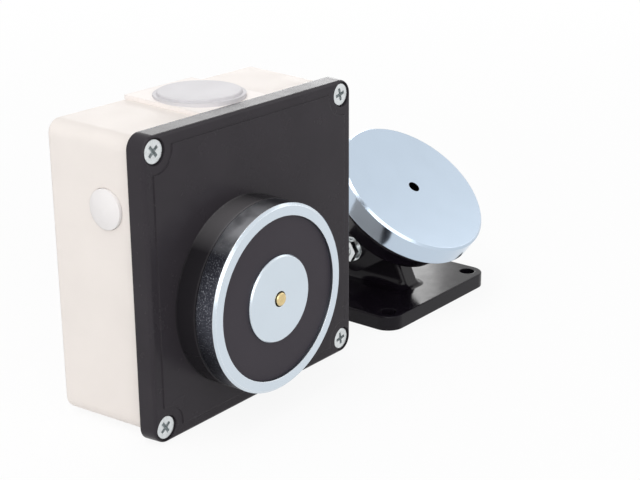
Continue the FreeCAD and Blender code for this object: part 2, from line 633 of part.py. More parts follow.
def make_front_cover():
    """Moulded cover: border, raised panel, countersunk corners, and the collar and well for the magnet."""
    body = front_body("front_cover")
    back = "size.box_depth"
    back_size = f"({COVER_SIZE} + 2 * size.cover_draft)"
    sketch = new_sketch(body, height=back)
    rectangle(sketch, back_size, back_size)
    pad(sketch, "size.cover_thickness", taper="-atan(size.cover_draft / size.cover_thickness)")
    round_edges(body, "size.cover_corner", along_z)
    round_edges(body, "size.cover_edge", at_height(COVER_FACE))
    sketch = new_sketch(body, height=COVER_FACE)
    side = f"({COVER_SIZE} - 2 * size.panel_margin)"
    rectangle(sketch, side, side)
    pad(sketch, "size.panel_height")
    sketch = new_sketch(body, height=f"{COVER_FACE} + size.panel_height")
    for x, y in four_corners(SCREW_PITCH):
        circle(sketch, x, y, "size.panel_scallop")
    pocket(sketch, "size.panel_height")
    sketch = new_sketch(body, height=back)
    inner = COVER_INSIDE
    notch = f"({COVER_INSIDE} - size.post_size)"
    outline(sketch, [
        (f"-{notch}", f"-{inner}"), (notch, f"-{inner}"), (notch, f"-{notch}"), (inner, f"-{notch}"),
        (inner, notch), (notch, notch), (notch, inner), (f"-{notch}", inner),
        (f"-{notch}", notch), (f"-{inner}", notch), (f"-{inner}", f"-{notch}"), (f"-{notch}", f"-{notch}")])
    pocket(sketch, "size.cover_thickness - size.cover_plate", forward=True)
    sketch = new_sketch(body, height=WELL_BACK)
    circle(sketch, "size.magnet_x", "size.magnet_z", "size.collar_radius")
    pad(sketch, f"{COLLAR_FACE} - {WELL_BACK}")
    sketch = new_sketch(body, height=COLLAR_FACE)
    circle(sketch, "size.magnet_x", "size.magnet_z", "size.cup_rear_radius + size.cup_play")
    pocket(sketch, f"{COLLAR_FACE} - {CUP_BACK}")
    sketch = new_sketch(body, height=CUP_BACK)
    for x, y in fixing_places():
        circle(sketch, f"size.magnet_x + {x}", f"size.magnet_z + {y}",
               "size.fixing_radius + size.fixing_hole_play")
    circle(sketch, "size.magnet_x", "size.magnet_z + size.fixing_circle", "size.lead_hole_radius")
    pocket(sketch, "size.well_floor + size.overcut")
    sketch = new_sketch(body, height=f"{back} - size.locating_lip")
    reach = f"({BOX_INSIDE} - size.locating_play - size.locating_lip / 2)"
    rectangle(sketch, "size.locating_lip", "size.locating_length", f"-{reach}")
    rectangle(sketch, "size.locating_lip", "size.locating_length", reach)
    rectangle(sketch, "size.locating_length", "size.locating_lip", "0", f"-{reach}")
    pad(sketch, "size.locating_lip + size.bond")
    sink_countersunk_holes(body)
    collar_edge = at_height(COLLAR_FACE)
    round_edges(body, "size.collar_edge",
                lambda edge: collar_edge(edge) and edge.BoundBox.XLength > value("2 * size.cup_front_radius"))


def sink_countersunk_holes(body):
    """Cut one countersunk screw hole in the cover and repeat it in the other corners."""
    doc.recompute()
    sketch = new_sketch(body, height=COVER_FACE)
    for x, y in four_corners(SCREW_PITCH):
        circle(sketch, x, y, "size.screw_head_radius + size.screw_head_play")
    pocket(sketch, "size.screw_sink + size.screw_head_land")
    cone_top = f"({COVER_FACE} - size.screw_sink - size.screw_head_land)"
    sketch = new_sketch(body, height=cone_top)
    for x, y in four_corners(SCREW_PITCH):
        circle(sketch, x, y, "size.screw_head_radius")
    pocket(sketch, "size.screw_head_radius - size.screw_radius - size.screw_hole_play", taper=-45)
    sketch = new_sketch(body, height=COVER_FACE)
    for x, y in four_corners(SCREW_PITCH):
        circle(sketch, x, y, "size.screw_radius + size.screw_hole_play")
    pocket(sketch, "size.cover_thickness + size.overcut")


def make_cover_screws():
    """Four countersunk screws with a cross recess."""
    screws = []
    top = f"({COVER_FACE} - size.screw_sink)"
    land = f"({top} - size.screw_head_land)"
    neck = f"({land} - size.screw_head_radius + size.screw_radius)"
    for number, (x, y) in enumerate(four_corners(SCREW_PITCH), start=1):
        body = turned(f"cover_screw_{number}", [
            ("0", f"{top} - size.screw_length"), ("size.screw_radius", f"{top} - size.screw_length"),
            ("size.screw_radius", neck), ("size.screw_head_radius", land),
            ("size.screw_head_radius", top), ("0", top)], x, y)
        doc.recompute()
        for width, height in (("size.screw_recess_width", "size.screw_recess_span"),
                              ("size.screw_recess_span", "size.screw_recess_width")):
            sketch = new_sketch(body, height=top)
            rectangle(sketch, width, height)
            pocket(sketch, "size.screw_recess_depth")
        spin = FreeCAD.Rotation(FreeCAD.Vector(0, 0, 1), SCREW_TURNS[number - 1])
        body.Placement.Rotation = FRONT_ROTATION.multiply(spin)
        screws.append(body)
    group("cover_screws", screws)


def fixing_places():
    """Places of the magnet screws round the magnet's axis."""
    return [(f"size.fixing_circle * cos({angle})", f"size.fixing_circle * sin({angle})")
            for angle in (30, 150, 270)]


def board_screw_places():
    """Places of the two board screws."""
    reach = "(size.board_width / 2 - size.board_screw_inset)"
    lift = "(size.board_height / 2 - size.board_screw_inset)"
    return [(f"size.board_x - {reach}", f"{BOARD_Z} + {lift}"),
            (f"size.board_x + {reach}", f"{BOARD_Z} - {lift}")]


def switch_screw_places():
    """Heights of the two switch screws."""
    return [f"{BUTTON_Z} - size.switch_screw_pitch / 2", f"{BUTTON_Z} + size.switch_screw_pitch / 2"]


def make_magnet():
    """Steel cup, pole, coil and resin."""
    cup = turned("magnet_cup", [
        ("size.spigot_radius", CUP_BACK), ("size.cup_rear_radius", CUP_BACK),
        ("size.cup_rear_radius", COLLAR_FACE), ("size.cup_front_radius - size.collar_edge", COLLAR_FACE),
        ("size.cup_front_radius", f"{COLLAR_FACE} + size.collar_edge"),
        ("size.cup_front_radius", f"{RING_FACE} - size.cup_chamfer"),
        ("size.cup_front_radius - size.cup_chamfer", RING_FACE), ("size.cup_rim_bore", RING_FACE),
        ("size.cup_rim_bore", POTTING_BACK), ("size.cup_coil_bore", POTTING_BACK),
        ("size.cup_coil_bore", CUP_FLOOR), ("size.spigot_radius", CUP_FLOOR)])
    doc.recompute()
    sketch = new_sketch(cup, height=CUP_BACK)
    for x, y in fixing_places():
        circle(sketch, x, y, "size.fixing_radius")
    pocket(sketch, "size.fixing_grip + size.pilot_room", forward=True)
    sketch = new_sketch(cup, height=CUP_BACK)
    circle(sketch, "0", "size.fixing_circle", "size.lead_hole_radius")
    pocket(sketch, "size.cup_bottom", forward=True)
    bore = "size.pin_radius + size.pin_play"
    turned("pole_core", [
        ("size.pin_chamber", CUP_BACK), ("size.spigot_radius", CUP_BACK), ("size.spigot_radius", CUP_FLOOR),
        ("size.pole_radius", CUP_FLOOR), ("size.pole_radius", f"{RING_FACE} - size.pole_chamfer"),
        ("size.pole_radius - size.pole_chamfer", RING_FACE), (f"{bore} + size.pin_mouth", RING_FACE),
        (bore, f"{RING_FACE} - size.pin_mouth"), (bore, PIN_STOP),
        ("size.pin_chamber", PIN_STOP)])
    tube = "size.pole_radius + size.coil_play"
    drum = f"{tube} + size.bobbin_wall"
    edge = "size.cup_coil_bore - size.coil_play"
    low = f"({CUP_FLOOR} + size.coil_play)"
    turned("coil_bobbin", [
        (tube, low), (edge, low), (edge, f"{low} + size.bobbin_wall"), (drum, f"{low} + size.bobbin_wall"),
        (drum, f"{POTTING_BACK} - size.bobbin_wall"), (edge, f"{POTTING_BACK} - size.bobbin_wall"),
        (edge, POTTING_BACK), (tube, POTTING_BACK)])
    turned("coil_winding", [
        (drum, f"{low} + size.bobbin_wall"), (f"{edge} - size.winding_margin", f"{low} + size.bobbin_wall"),
        (f"{edge} - size.winding_margin", f"{POTTING_BACK} - size.bobbin_wall"),
        (drum, f"{POTTING_BACK} - size.bobbin_wall")])
    turned("potting_ring", [
        ("size.pole_radius", POTTING_BACK), ("size.cup_rim_bore", POTTING_BACK),
        ("size.cup_rim_bore", f"{RING_FACE} - size.potting_recess"),
        ("size.pole_radius", f"{RING_FACE} - size.potting_recess")])


def make_release_pin():
    """Sprung brass pin that frees the disc, its spring and the plug behind it."""
    tip = f"({RING_FACE} + size.pin_proud)"
    body = turned("release_pin", [
        ("0", PIN_HEAD_BACK), ("size.pin_head_radius", PIN_HEAD_BACK),
        ("size.pin_head_radius", f"{PIN_HEAD_BACK} + size.pin_head_length"),
        ("size.pin_radius", f"{PIN_HEAD_BACK} + size.pin_head_length"), ("size.pin_radius", tip), ("0", tip)])
    round_edges(body, "size.pin_radius / 5", at_height(tip))
    spring_body = front_body("pin_spring", "size.magnet_x", "size.magnet_z")
    spring("pin_spring", spring_body, "size.pin_spring_coil", "size.pin_spring_wire", PLUG_FACE,
           f"({PIN_HEAD_BACK} - {PLUG_FACE})", "size.pin_spring_turns")
    plug = turned("spring_plug", [
        ("0", CUP_BACK), ("size.pin_chamber", CUP_BACK), ("size.pin_chamber", PLUG_FACE), ("0", PLUG_FACE)])
    doc.recompute()
    sketch = new_sketch(plug, height=CUP_BACK)
    rectangle(sketch, "2 * size.pin_chamber + size.overcut", "size.terminal_slot * 1.5")
    pocket(sketch, "size.plug_length / 3", forward=True)


def make_magnet_screws():
    """Three socket screws and spring washers that hold the cup in its well."""
    screws = []
    washers = []
    seat = f"({WELL_BACK} - size.fixing_washer_height)"
    head = f"({seat} - size.fixing_head_height)"
    for number, (x, y) in enumerate(fixing_places(), start=1):
        place = (f"size.magnet_x + {x}", f"size.magnet_z + {y}")
        body = turned(f"magnet_screw_{number}", [
            ("0", head), ("size.fixing_head_radius", head), ("size.fixing_head_radius", seat),
            ("size.fixing_radius", seat), ("size.fixing_radius", f"{CUP_BACK} + size.fixing_grip"),
            ("0", f"{CUP_BACK} + size.fixing_grip")], *place)
        doc.recompute()
        sketch = new_sketch(body, height=head)
        hexagon(sketch, "size.fixing_socket")
        pocket(sketch, "size.fixing_head_height * 0.7", forward=True)
        screws.append(body)
        washers.append(turned(f"magnet_washer_{number}", [
            ("size.fixing_radius", seat), ("size.fixing_washer_radius", seat),
            ("size.fixing_washer_radius", WELL_BACK), ("size.fixing_radius", WELL_BACK)], *place))
    group("magnet_screws", screws)
    group("magnet_washers", washers)


def make_board():
    """Circuit board with its screws."""
    body = front_body("circuit_board")
    sketch = new_sketch(body, height=BOARD_BACK)
    rectangle(sketch, "size.board_width", "size.board_height", "size.board_x", BOARD_Z)
    for x, y in board_screw_places():
        circle(sketch, x, y, "size.board_screw_radius + size.small_screw_play")
    pad(sketch, "size.board_thickness")
    screws = []
    for number, (x, y) in enumerate(board_screw_places(), start=1):
        top = f"({BOARD_FACE} + size.board_head_height)"
        screw = turned(f"board_screw_{number}", [
            ("0", f"{BOARD_FACE} - size.board_screw_length"),
            ("size.board_screw_radius", f"{BOARD_FACE} - size.board_screw_length"),
            ("size.board_screw_radius", BOARD_FACE), ("size.board_head_radius", BOARD_FACE),
            ("size.board_head_radius", top), ("0", top)], x, y)
        doc.recompute()
        sketch = new_sketch(screw, height=top)
        rectangle(sketch, "2 * size.board_head_radius + size.overcut", "size.terminal_slot")
        pocket(sketch, "size.terminal_slot")
        screws.append(screw)
    group("board_screws", screws)


def terminal_places():
    """Middles of the two terminals, right of the box's centre."""
    return ["size.magnet_x - size.lead_spacing / 2", "size.magnet_x + size.lead_spacing / 2"]


def make_terminal_block():
    """Two-way terminal block: wire entries below, screw wells in front."""
    body = front_body("terminal_block")
    sketch = new_sketch(body, height=BOARD_FACE)
    rectangle(sketch, "size.terminal_width", "size.terminal_height", "size.magnet_x", BOARD_Z)
    pad(sketch, "size.terminal_depth")
    sketch = new_sketch(body, "XZ_Plane", f"-({BOARD_Z} - size.terminal_height / 2)")
    for x in terminal_places():
        rectangle(sketch, "2 * size.terminal_entry", "2 * size.terminal_entry", x, LEAD_OUT)
    pocket(sketch, "size.terminal_height / 2", forward=False)
    sketch = new_sketch(body, height=f"{BOARD_FACE} + size.terminal_depth")
    for x in terminal_places():
        circle(sketch, x, BOARD_Z, "size.terminal_well")
    pocket(sketch, "size.terminal_depth / 2")
    screws = []
    low = f"({LEAD_OUT} + size.lead_radius + size.pilot_room)"
    for number, x in enumerate(terminal_places(), start=1):
        screw = turned(f"terminal_screw_{number}", [
            ("0", low), ("size.terminal_screw_radius", low),
            ("size.terminal_screw_radius", f"{low} + size.terminal_screw_length"),
            ("0", f"{low} + size.terminal_screw_length")], x, BOARD_Z)
        doc.recompute()
        sketch = new_sketch(screw, height=f"{low} + size.terminal_screw_length")
        rectangle(sketch, "2 * size.terminal_screw_radius + size.overcut", "size.terminal_slot")
        pocket(sketch, "size.terminal_slot")
        screws.append(screw)
    group("terminal_screws", screws)


def make_diode():
    """Diode across the coil, standing on its bent wires on the board."""
    centre = "(size.board_x + size.diode_offset)"
    level = BOARD_Z
    lift = f"-({BOARD_FACE} + size.diode_radius + size.diode_wire)"
    left = f"{centre} - size.diode_span / 2"
    right = f"{centre} + size.diode_span / 2"
    barrel = cylinder("diode_barrel", "size.diode_radius", "size.diode_length",
                      f"{centre} - size.diode_length / 2", lift, level, RIGHT_ROTATION)
    wire = cylinder("diode_wire", "size.diode_wire", "size.diode_span", left, lift, level, RIGHT_ROTATION)
    legs = []
    for side, x in (("left", left), ("right", right)):
        legs.append(cylinder(f"diode_leg_{side}", "size.diode_wire",
                             f"-({lift}) - {BOARD_FACE} + size.diode_wire",
                             x, f"-{BOARD_FACE}", level, FRONT_ROTATION))
    nodes.append(fuse("suppressor_diode", [barrel, wire, *legs]))


def make_coil_leads():
    """Two leads from the coil, back through the cup, round a bend and up into the terminal block."""
    leads = []
    bend = "size.lead_bend"
    wire = "size.lead_radius"
    corner = f"({LEAD_OUT} + {bend})"
    for side, x in zip(("left", "right"), terminal_places()):
        name = f"coil_lead_{side}"
        back = cylinder(f"{name}_back", wire, f"{CUP_FLOOR} + size.coil_play - {corner}",
                        x, f"-{corner}", LEAD_Z, FRONT_ROTATION)
        turn = elbow(f"{name}_bend", bend, wire, x, f"-{corner}", f"{LEAD_Z} + {bend}", RIGHT_ROTATION)
        up = cylinder(f"{name}_up", wire, f"{BOARD_Z} - {LEAD_Z} - {bend}",
                      x, f"-{LEAD_OUT}", f"{LEAD_Z} + {bend}")
        leads.append(fuse(name, [back, turn, up]))
    group("coil_leads", leads)


def make_button():
    """Release button: domed cap, its spring, and the switch that it works."""
    place = ("0", "-size.button_out", BUTTON_Z, LEFT_ROTATION)
    body = new_body("button_cap", *place)
    edge = f"({BUTTON_WALL} + size.button_dome_edge)"
    tip = f"({BUTTON_WALL} + size.button_proud)"
    rise = "(size.button_proud - size.button_dome_edge)"
    dome = f"((size.button_radius ^ 2 + {rise} ^ 2) / 2 / {rise})"
    turn_profile(body, [
        ("0", f"{BUTTON_FLANGE_BACK} - size.button_stem_length"),
        ("size.button_stem_radius", f"{BUTTON_FLANGE_BACK} - size.button_stem_length"),
        ("size.button_stem_radius", BUTTON_FLANGE_BACK), ("size.button_flange_radius", BUTTON_FLANGE_BACK),
        ("size.button_flange_radius", BUTTON_FLANGE_FACE), ("size.button_radius", BUTTON_FLANGE_FACE),
        ("size.button_radius", edge, dome, 1), ("0", tip)])
    spring_body = new_body("button_spring", *place)
    spring("button_spring", spring_body, "size.button_spring_coil", "size.button_spring_wire", SWITCH_FACE,
           "size.button_spring_length", "size.button_spring_turns")
    switch = new_body("switch_body", *place)
    sketch = new_sketch(switch, height=SWITCH_PLATE_BACK)
    rectangle(sketch, "size.switch_plate_length", "size.switch_width")
    pad(sketch, "size.switch_plate")
    sketch = new_sketch(switch, height=SWITCH_BACK)
    rectangle(sketch, "size.switch_body_length", "size.switch_width")
    pad(sketch, "size.switch_body_depth")
    sketch = new_sketch(switch, height=SWITCH_FACE)
    circle(sketch, "0", "0", "size.button_stem_radius + size.button_stem_play")
    pocket(sketch, f"{SWITCH_FACE} - {BUTTON_FLANGE_BACK} + size.button_stem_length + size.switch_stem_room")
    sketch = new_sketch(switch, height=SWITCH_FACE)
    for sign in (-1, 1):
        circle(sketch, f"{sign} * size.switch_screw_pitch / 2", "0",
               "size.switch_screw_radius + size.small_screw_play")
    pocket(sketch, "size.switch_plate + size.overcut")
    screws = []
    for number, z in enumerate(switch_screw_places(), start=1):
        screw = new_body(f"switch_screw_{number}", "0", "-size.button_out", z, LEFT_ROTATION)
        head = f"({SWITCH_PLATE_BACK} - size.switch_head_height)"
        turn_profile(screw, [
            ("0", head), ("size.switch_head_radius", head), ("size.switch_head_radius", SWITCH_PLATE_BACK),
            ("size.switch_screw_radius", SWITCH_PLATE_BACK),
            ("size.switch_screw_radius", f"{SWITCH_PLATE_BACK} + size.switch_screw_length"),
            ("0", f"{SWITCH_PLATE_BACK} + size.switch_screw_length")])
        doc.recompute()
        sketch = new_sketch(screw, height=head)
        rectangle(sketch, "2 * size.switch_head_radius + size.overcut", "size.terminal_slot")
        pocket(sketch, "size.terminal_slot", forward=True)
        screws.append(screw)
    group("switch_screws", screws)


def make_switch_leads():
    """Two leads from the switch, in towards the middle and back to the board."""
    leads = []
    wire = "size.lead_radius"
    start = f"-{SWITCH_BACK}"
    corner = f"({start} + size.switch_lead_run)"
    drop_x = f"(size.magnet_x - size.terminal_width / 2 - size.switch_lead_gap - {wire})"
    bend = f"({drop_x} - {corner})"
    turn_out = f"(size.button_out - {bend})"
    for side, sign in (("low", -1), ("high", 1)):
        name = f"switch_lead_{side}"
        z = f"{BUTTON_Z} + {sign} * size.switch_lead_spacing / 2"
        run = cylinder(f"{name}_run", wire, "size.switch_lead_run", start, "-size.button_out", z,
                       RIGHT_ROTATION)
        turn = elbow(f"{name}_bend", bend, wire, corner, f"-{turn_out}", z, QUARTER_BACK)
        back = cylinder(f"{name}_back", wire, f"{turn_out} - {BOARD_FACE}", drop_x, f"-{turn_out}", z,
                        BACK_ROTATION)
        leads.append(fuse(name, [run, turn, back]))
    group("switch_leads", leads)


def make_keeper_base():
    """Base plate with four holes and a lug for the pivot on a coved foot."""
    body = new_body("keeper_base", "size.keeper_x", "-size.keeper_out", FLOOR_Z)
    sketch = new_sketch(body)
    rectangle(sketch, "size.keeper_size", "size.keeper_size")
    pad(sketch, "size.keeper_thickness")
    round_edges(body, "size.keeper_corner", along_z)
    round_edges(body, "size.keeper_edge", at_height("size.keeper_thickness"))
    top = "size.keeper_thickness"
    drop = "(size.pivot_height - size.keeper_thickness)"
    away = f"sqrt(size.lug_foot ^ 2 + {drop} ^ 2)"
    bearing = f"(acos(size.lug_top_radius / {away}) - atan2({drop}; size.lug_foot))"
    touch_y = f"(size.lug_top_radius * cos({bearing}))"
    touch_z = f"(size.pivot_height + size.lug_top_radius * sin({bearing}))"
    crest = "size.pivot_height + size.lug_top_radius"
    sketch = new_sketch(body, "YZ_Plane")
    outline(sketch, [
        ("-size.lug_foot", f"{top} - size.bond"), ("size.lug_foot", f"{top} - size.bond"),
        ("size.lug_foot", top),
        (touch_y, touch_z, "size.lug_top_radius", 1), ("0", crest, "size.lug_top_radius", 1),
        (f"-{touch_y}", touch_z), ("-size.lug_foot", top)])
    pad(sketch, "size.lug_thickness", symmetric=True)
    half = value("size.lug_thickness / 2") + TINY
    round_edges(body, "size.lug_edge", lambda edge: edge.BoundBox.XLength < TINY
                and abs(edge.BoundBox.XMin) < half and edge.BoundBox.ZMax > value(top) + TINY)
    level = at_height(top)
    round_edges(body, "size.lug_cove", lambda edge: level(edge) and abs(edge.BoundBox.XMin) < half
                and abs(edge.BoundBox.XMax) < half)
    sketch = new_sketch(body, "YZ_Plane")
    circle(sketch, "0", "size.pivot_height", "size.pivot_radius + size.pivot_play")
    pocket(sketch, "size.lug_thickness + size.overcut", symmetric=True)
    sketch = new_sketch(body, height=top)
    for x, y in four_corners("(size.keeper_size - 2 * size.keeper_hole_inset)"):
        circle(sketch, x, y, "size.keeper_hole_radius")
    pocket(sketch, "size.keeper_thickness + size.overcut")


def make_keeper_holder():
    """Dish behind the disc with the fork that turns on the lug."""
    body = armature_body("keeper_holder")
    shoulder = f"({DISC_BACK} - size.dish_rim_height)"
    floor = f"({DISH_BACK} + size.dish_wall)"
    hole = "size.disc_screw_radius + size.disc_screw_play"
    slope = "((size.dish_rim_radius - size.dish_back_radius) / size.dish_depth)"
    groove = f"({shoulder} - size.dish_groove)"
    turn_profile(body, [
        (hole, DISH_BACK), ("size.dish_back_radius", DISH_BACK),
        (f"size.dish_back_radius + ({groove} - {DISH_BACK}) * {slope}", groove),
        (f"size.dish_rim_radius - size.dish_rim_height * {slope} - size.dish_groove",
         f"{shoulder} - size.dish_groove / 2"),
        ("size.dish_rim_radius", shoulder), ("size.dish_rim_radius", DISC_BACK),
        ("size.dish_rim_radius - size.dish_wall", DISC_BACK),
        ("size.dish_back_radius - size.dish_wall", floor),
        ("size.dish_boss_radius", floor), ("size.dish_boss_radius", DISC_BACK), (hole, DISC_BACK)])
    away = f"sqrt(size.ear_root ^ 2 + {DISH_BACK} ^ 2)"
    bearing = f"(atan2({DISH_BACK}; size.ear_root) - acos(size.ear_radius / {away}))"
    touch_y = f"(size.ear_radius * cos({bearing}))"
    touch_z = f"(size.ear_radius * sin({bearing}))"
    sketch = new_sketch(body, "YZ_Plane")
    outline(sketch, [
        ("size.ear_root", DISH_BACK), ("size.ear_root", f"{DISH_BACK} + size.bond"),
        ("-size.ear_root", f"{DISH_BACK} + size.bond"),
        ("-size.ear_root", DISH_BACK), (f"-{touch_y}", touch_z, "size.ear_radius", 1),
        ("0", "-size.ear_radius", "size.ear_radius", 1), (touch_y, touch_z)])
    pad(sketch, f"2 * {EAR_OUTER}", symmetric=True)
    sketch = new_sketch(body, "YZ_Plane")
    rectangle(sketch, "2 * (size.ear_root + size.overcut)", f"{DISH_BACK} + size.ear_radius + size.overcut",
              "0", f"({DISH_BACK} - size.ear_radius - size.overcut) / 2")
    pocket(sketch, f"2 * {EAR_INNER}", symmetric=True)
    sketch = new_sketch(body, "YZ_Plane")
    circle(sketch, "0", "0", "size.pivot_radius + size.pivot_play")
    pocket(sketch, f"2 * {EAR_OUTER} + size.overcut", symmetric=True)
    sketch = new_sketch(body, height=DISH_BACK)
    circle(sketch, "0", "0", "size.disc_screw_head_radius + size.disc_screw_play")
    pocket(sketch, "size.disc_screw_sink", forward=True)


def make_armature_disc():
    """Steel disc and the screw that holds it to the dish."""
    body = armature_body("armature_disc")
    face = "size.armature_reach"
    turn_profile(body, [
        ("size.disc_screw_radius", DISC_BACK), ("size.disc_radius - size.disc_back_chamfer", DISC_BACK),
        ("size.disc_radius", f"{DISC_BACK} + size.disc_back_chamfer"),
        ("size.disc_radius", f"{face} - size.disc_chamfer"), ("size.disc_radius - size.disc_chamfer", face),
        ("size.disc_screw_radius", face)])
    screw = armature_body("armature_screw")
    seat = f"({DISH_BACK} + size.disc_screw_sink)"
    head = f"({seat} - size.disc_screw_head_height)"
    end = f"({face} - size.disc_screw_recess)"
    turn_profile(screw, [
        ("0", head), ("size.disc_screw_head_radius", head), ("size.disc_screw_head_radius", seat),
        ("size.disc_screw_radius", seat), ("size.disc_screw_radius", end), ("0", end)])
    doc.recompute()
    sketch = new_sketch(screw, height=head)
    hexagon(sketch, "size.fixing_socket")
    pocket(sketch, "size.disc_screw_head_height * 0.6", forward=True)


def pivot_body(label):
    """Start a body on the pivot, whose own Z points to the left."""
    return new_body(label, "size.keeper_x", "-size.keeper_out", PIVOT_Z, LEFT_ROTATION)


def make_pivot():
    """Bolt, washers, spring washer and nut through the fork."""
    washer_face = f"({EAR_OUTER} + size.pivot_washer_height)"
    nut_low = f"({washer_face} + size.pivot_spring_height)"
    nut_high = f"({nut_low} + size.pivot_nut_height)"
    bolt_end = f"({nut_high} + size.pivot_bolt_tail)"
    head_low = f"(-{washer_face} - size.pivot_head_height)"
    bolt = pivot_body("pivot_bolt")
    sketch = new_sketch(bolt, height=head_low)
    hexagon(sketch, "size.pivot_flats")
    pad(sketch, "size.pivot_head_height")
    sketch = new_sketch(bolt, height=f"-{washer_face} - size.bond")
    circle(sketch, "0", "0", "size.pivot_radius")
    pad(sketch, f"{bolt_end} + {washer_face} + size.bond")
    doc.recompute()
    tail = at_height(bolt_end)
    round_edges(bolt, "size.bolt_round", tail)
    washers = []
    for name, low in (("left", EAR_OUTER), ("right", f"-{washer_face}")):
        washer = pivot_body(f"pivot_washer_{name}")
        turn_profile(washer, [
            ("size.pivot_radius", low), ("size.pivot_washer_radius", low),
            ("size.pivot_washer_radius", f"{low} + size.pivot_washer_height"),
            ("size.pivot_radius", f"{low} + size.pivot_washer_height")])
        washers.append(washer)
    group("pivot_washers", washers)
    lock = pivot_body("pivot_spring_washer")
    turn_profile(lock, [
        ("size.pivot_radius", washer_face), ("size.pivot_spring_radius", washer_face),
        ("size.pivot_spring_radius", nut_low), ("size.pivot_radius", nut_low)])
    doc.recompute()
    sketch = new_sketch(lock, height=nut_low)
    rectangle(sketch, "size.pivot_spring_radius", "size.pivot_spring_gap", "size.pivot_spring_radius")
    pocket(sketch, "size.pivot_spring_height + size.overcut")
    nut = pivot_body("pivot_nut")
    sketch = new_sketch(nut, height=nut_low)
    hexagon(sketch, "size.pivot_flats")
    circle(sketch, "0", "0", "size.pivot_radius")
    pad(sketch, "size.pivot_nut_height")


def check_and_write():
    """Stop on any failed object, then write one file for each node."""
    doc.recompute()
    for item in doc.Objects:
        if "Invalid" in item.State or "Error" in item.State:
            raise RuntimeError(f"{item.Label} failed: {item.State}")
    os.makedirs("parts", exist_ok=True)
    for node in nodes:
        shape = node.Shape
        if shape.isNull() or not shape.isValid() or not shape.Solids:
            raise RuntimeError(f"{node.Label} has no valid solid")
        shape.exportStep(f"parts/{node.Label}.step")
        print(f"{node.Label}: {len(shape.Solids)} solid, {shape.Volume:.1f} mm3")


fill_sheet()
make_back_box()
make_cable_entry()
make_front_cover()
make_cover_screws()
make_magnet()
make_release_pin()
make_magnet_screws()
make_board()
make_terminal_block()
make_diode()
make_coil_leads()
make_button()
make_switch_leads()
make_keeper_base()
make_keeper_holder()
make_armature_disc()
make_pivot()
check_and_write()
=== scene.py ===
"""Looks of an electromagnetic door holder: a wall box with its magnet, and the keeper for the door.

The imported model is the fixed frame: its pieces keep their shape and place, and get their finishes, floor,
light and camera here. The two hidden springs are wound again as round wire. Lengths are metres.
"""

import bpy
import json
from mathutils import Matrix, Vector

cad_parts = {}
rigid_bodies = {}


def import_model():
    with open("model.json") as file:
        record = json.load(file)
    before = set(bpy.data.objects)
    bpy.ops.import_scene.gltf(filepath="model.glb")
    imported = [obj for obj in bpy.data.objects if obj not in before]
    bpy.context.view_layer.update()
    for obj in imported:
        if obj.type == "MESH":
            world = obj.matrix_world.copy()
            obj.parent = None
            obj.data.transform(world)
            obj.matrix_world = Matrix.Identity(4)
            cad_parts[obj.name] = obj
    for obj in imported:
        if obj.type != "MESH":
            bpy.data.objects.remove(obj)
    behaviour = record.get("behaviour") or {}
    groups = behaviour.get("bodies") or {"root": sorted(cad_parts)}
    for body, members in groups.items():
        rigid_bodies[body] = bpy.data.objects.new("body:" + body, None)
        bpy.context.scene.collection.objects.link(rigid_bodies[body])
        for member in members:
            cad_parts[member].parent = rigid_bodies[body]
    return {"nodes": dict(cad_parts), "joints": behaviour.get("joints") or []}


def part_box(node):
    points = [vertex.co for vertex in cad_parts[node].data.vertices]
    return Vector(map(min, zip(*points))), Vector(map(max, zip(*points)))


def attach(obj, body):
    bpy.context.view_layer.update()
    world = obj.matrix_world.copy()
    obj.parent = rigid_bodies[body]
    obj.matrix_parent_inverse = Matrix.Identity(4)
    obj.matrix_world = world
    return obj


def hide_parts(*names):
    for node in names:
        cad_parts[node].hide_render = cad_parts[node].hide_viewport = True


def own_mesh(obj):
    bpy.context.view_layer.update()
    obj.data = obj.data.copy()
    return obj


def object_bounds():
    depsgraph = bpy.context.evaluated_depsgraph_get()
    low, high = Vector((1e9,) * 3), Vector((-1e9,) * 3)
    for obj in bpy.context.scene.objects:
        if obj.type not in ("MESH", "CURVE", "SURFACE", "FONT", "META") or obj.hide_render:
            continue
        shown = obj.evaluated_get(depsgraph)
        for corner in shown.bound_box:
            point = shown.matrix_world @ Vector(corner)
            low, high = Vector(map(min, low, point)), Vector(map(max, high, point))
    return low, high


for leftover in list(bpy.data.objects):
    bpy.data.objects.remove(leftover)

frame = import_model()
CAD_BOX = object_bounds()

import json
import math

from bpy.props import FloatProperty, FloatVectorProperty, PointerProperty
from mathutils import Quaternion, Vector

bl_info = {
    "name": "Door holder finishes",
    "version": (1, 0, 0),
    "blender": (4, 5, 0),
    "location": "View3D > Sidebar > Door holder",
    "description": "Dresses the door holder and sets its stage",
    "category": "Object",
}

MM = 0.001
NODES = frame["nodes"]
JOINTS = {joint["name"]: joint for joint in frame["joints"]}
PIVOT = Vector(JOINTS["keeper_tilt"]["pos_m"])
CUP_LOW, CUP_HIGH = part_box("magnet_cup")
MAGNET_AXIS = Vector(((CUP_LOW.x + CUP_HIGH.x) / 2, CUP_LOW.y, (CUP_LOW.z + CUP_HIGH.z) / 2))
FLOOR_LEVEL = CAD_BOX[0].z
DISC_TILT = math.radians(37.2)
FACING_OUT = (math.radians(90), 0.0, 0.0)

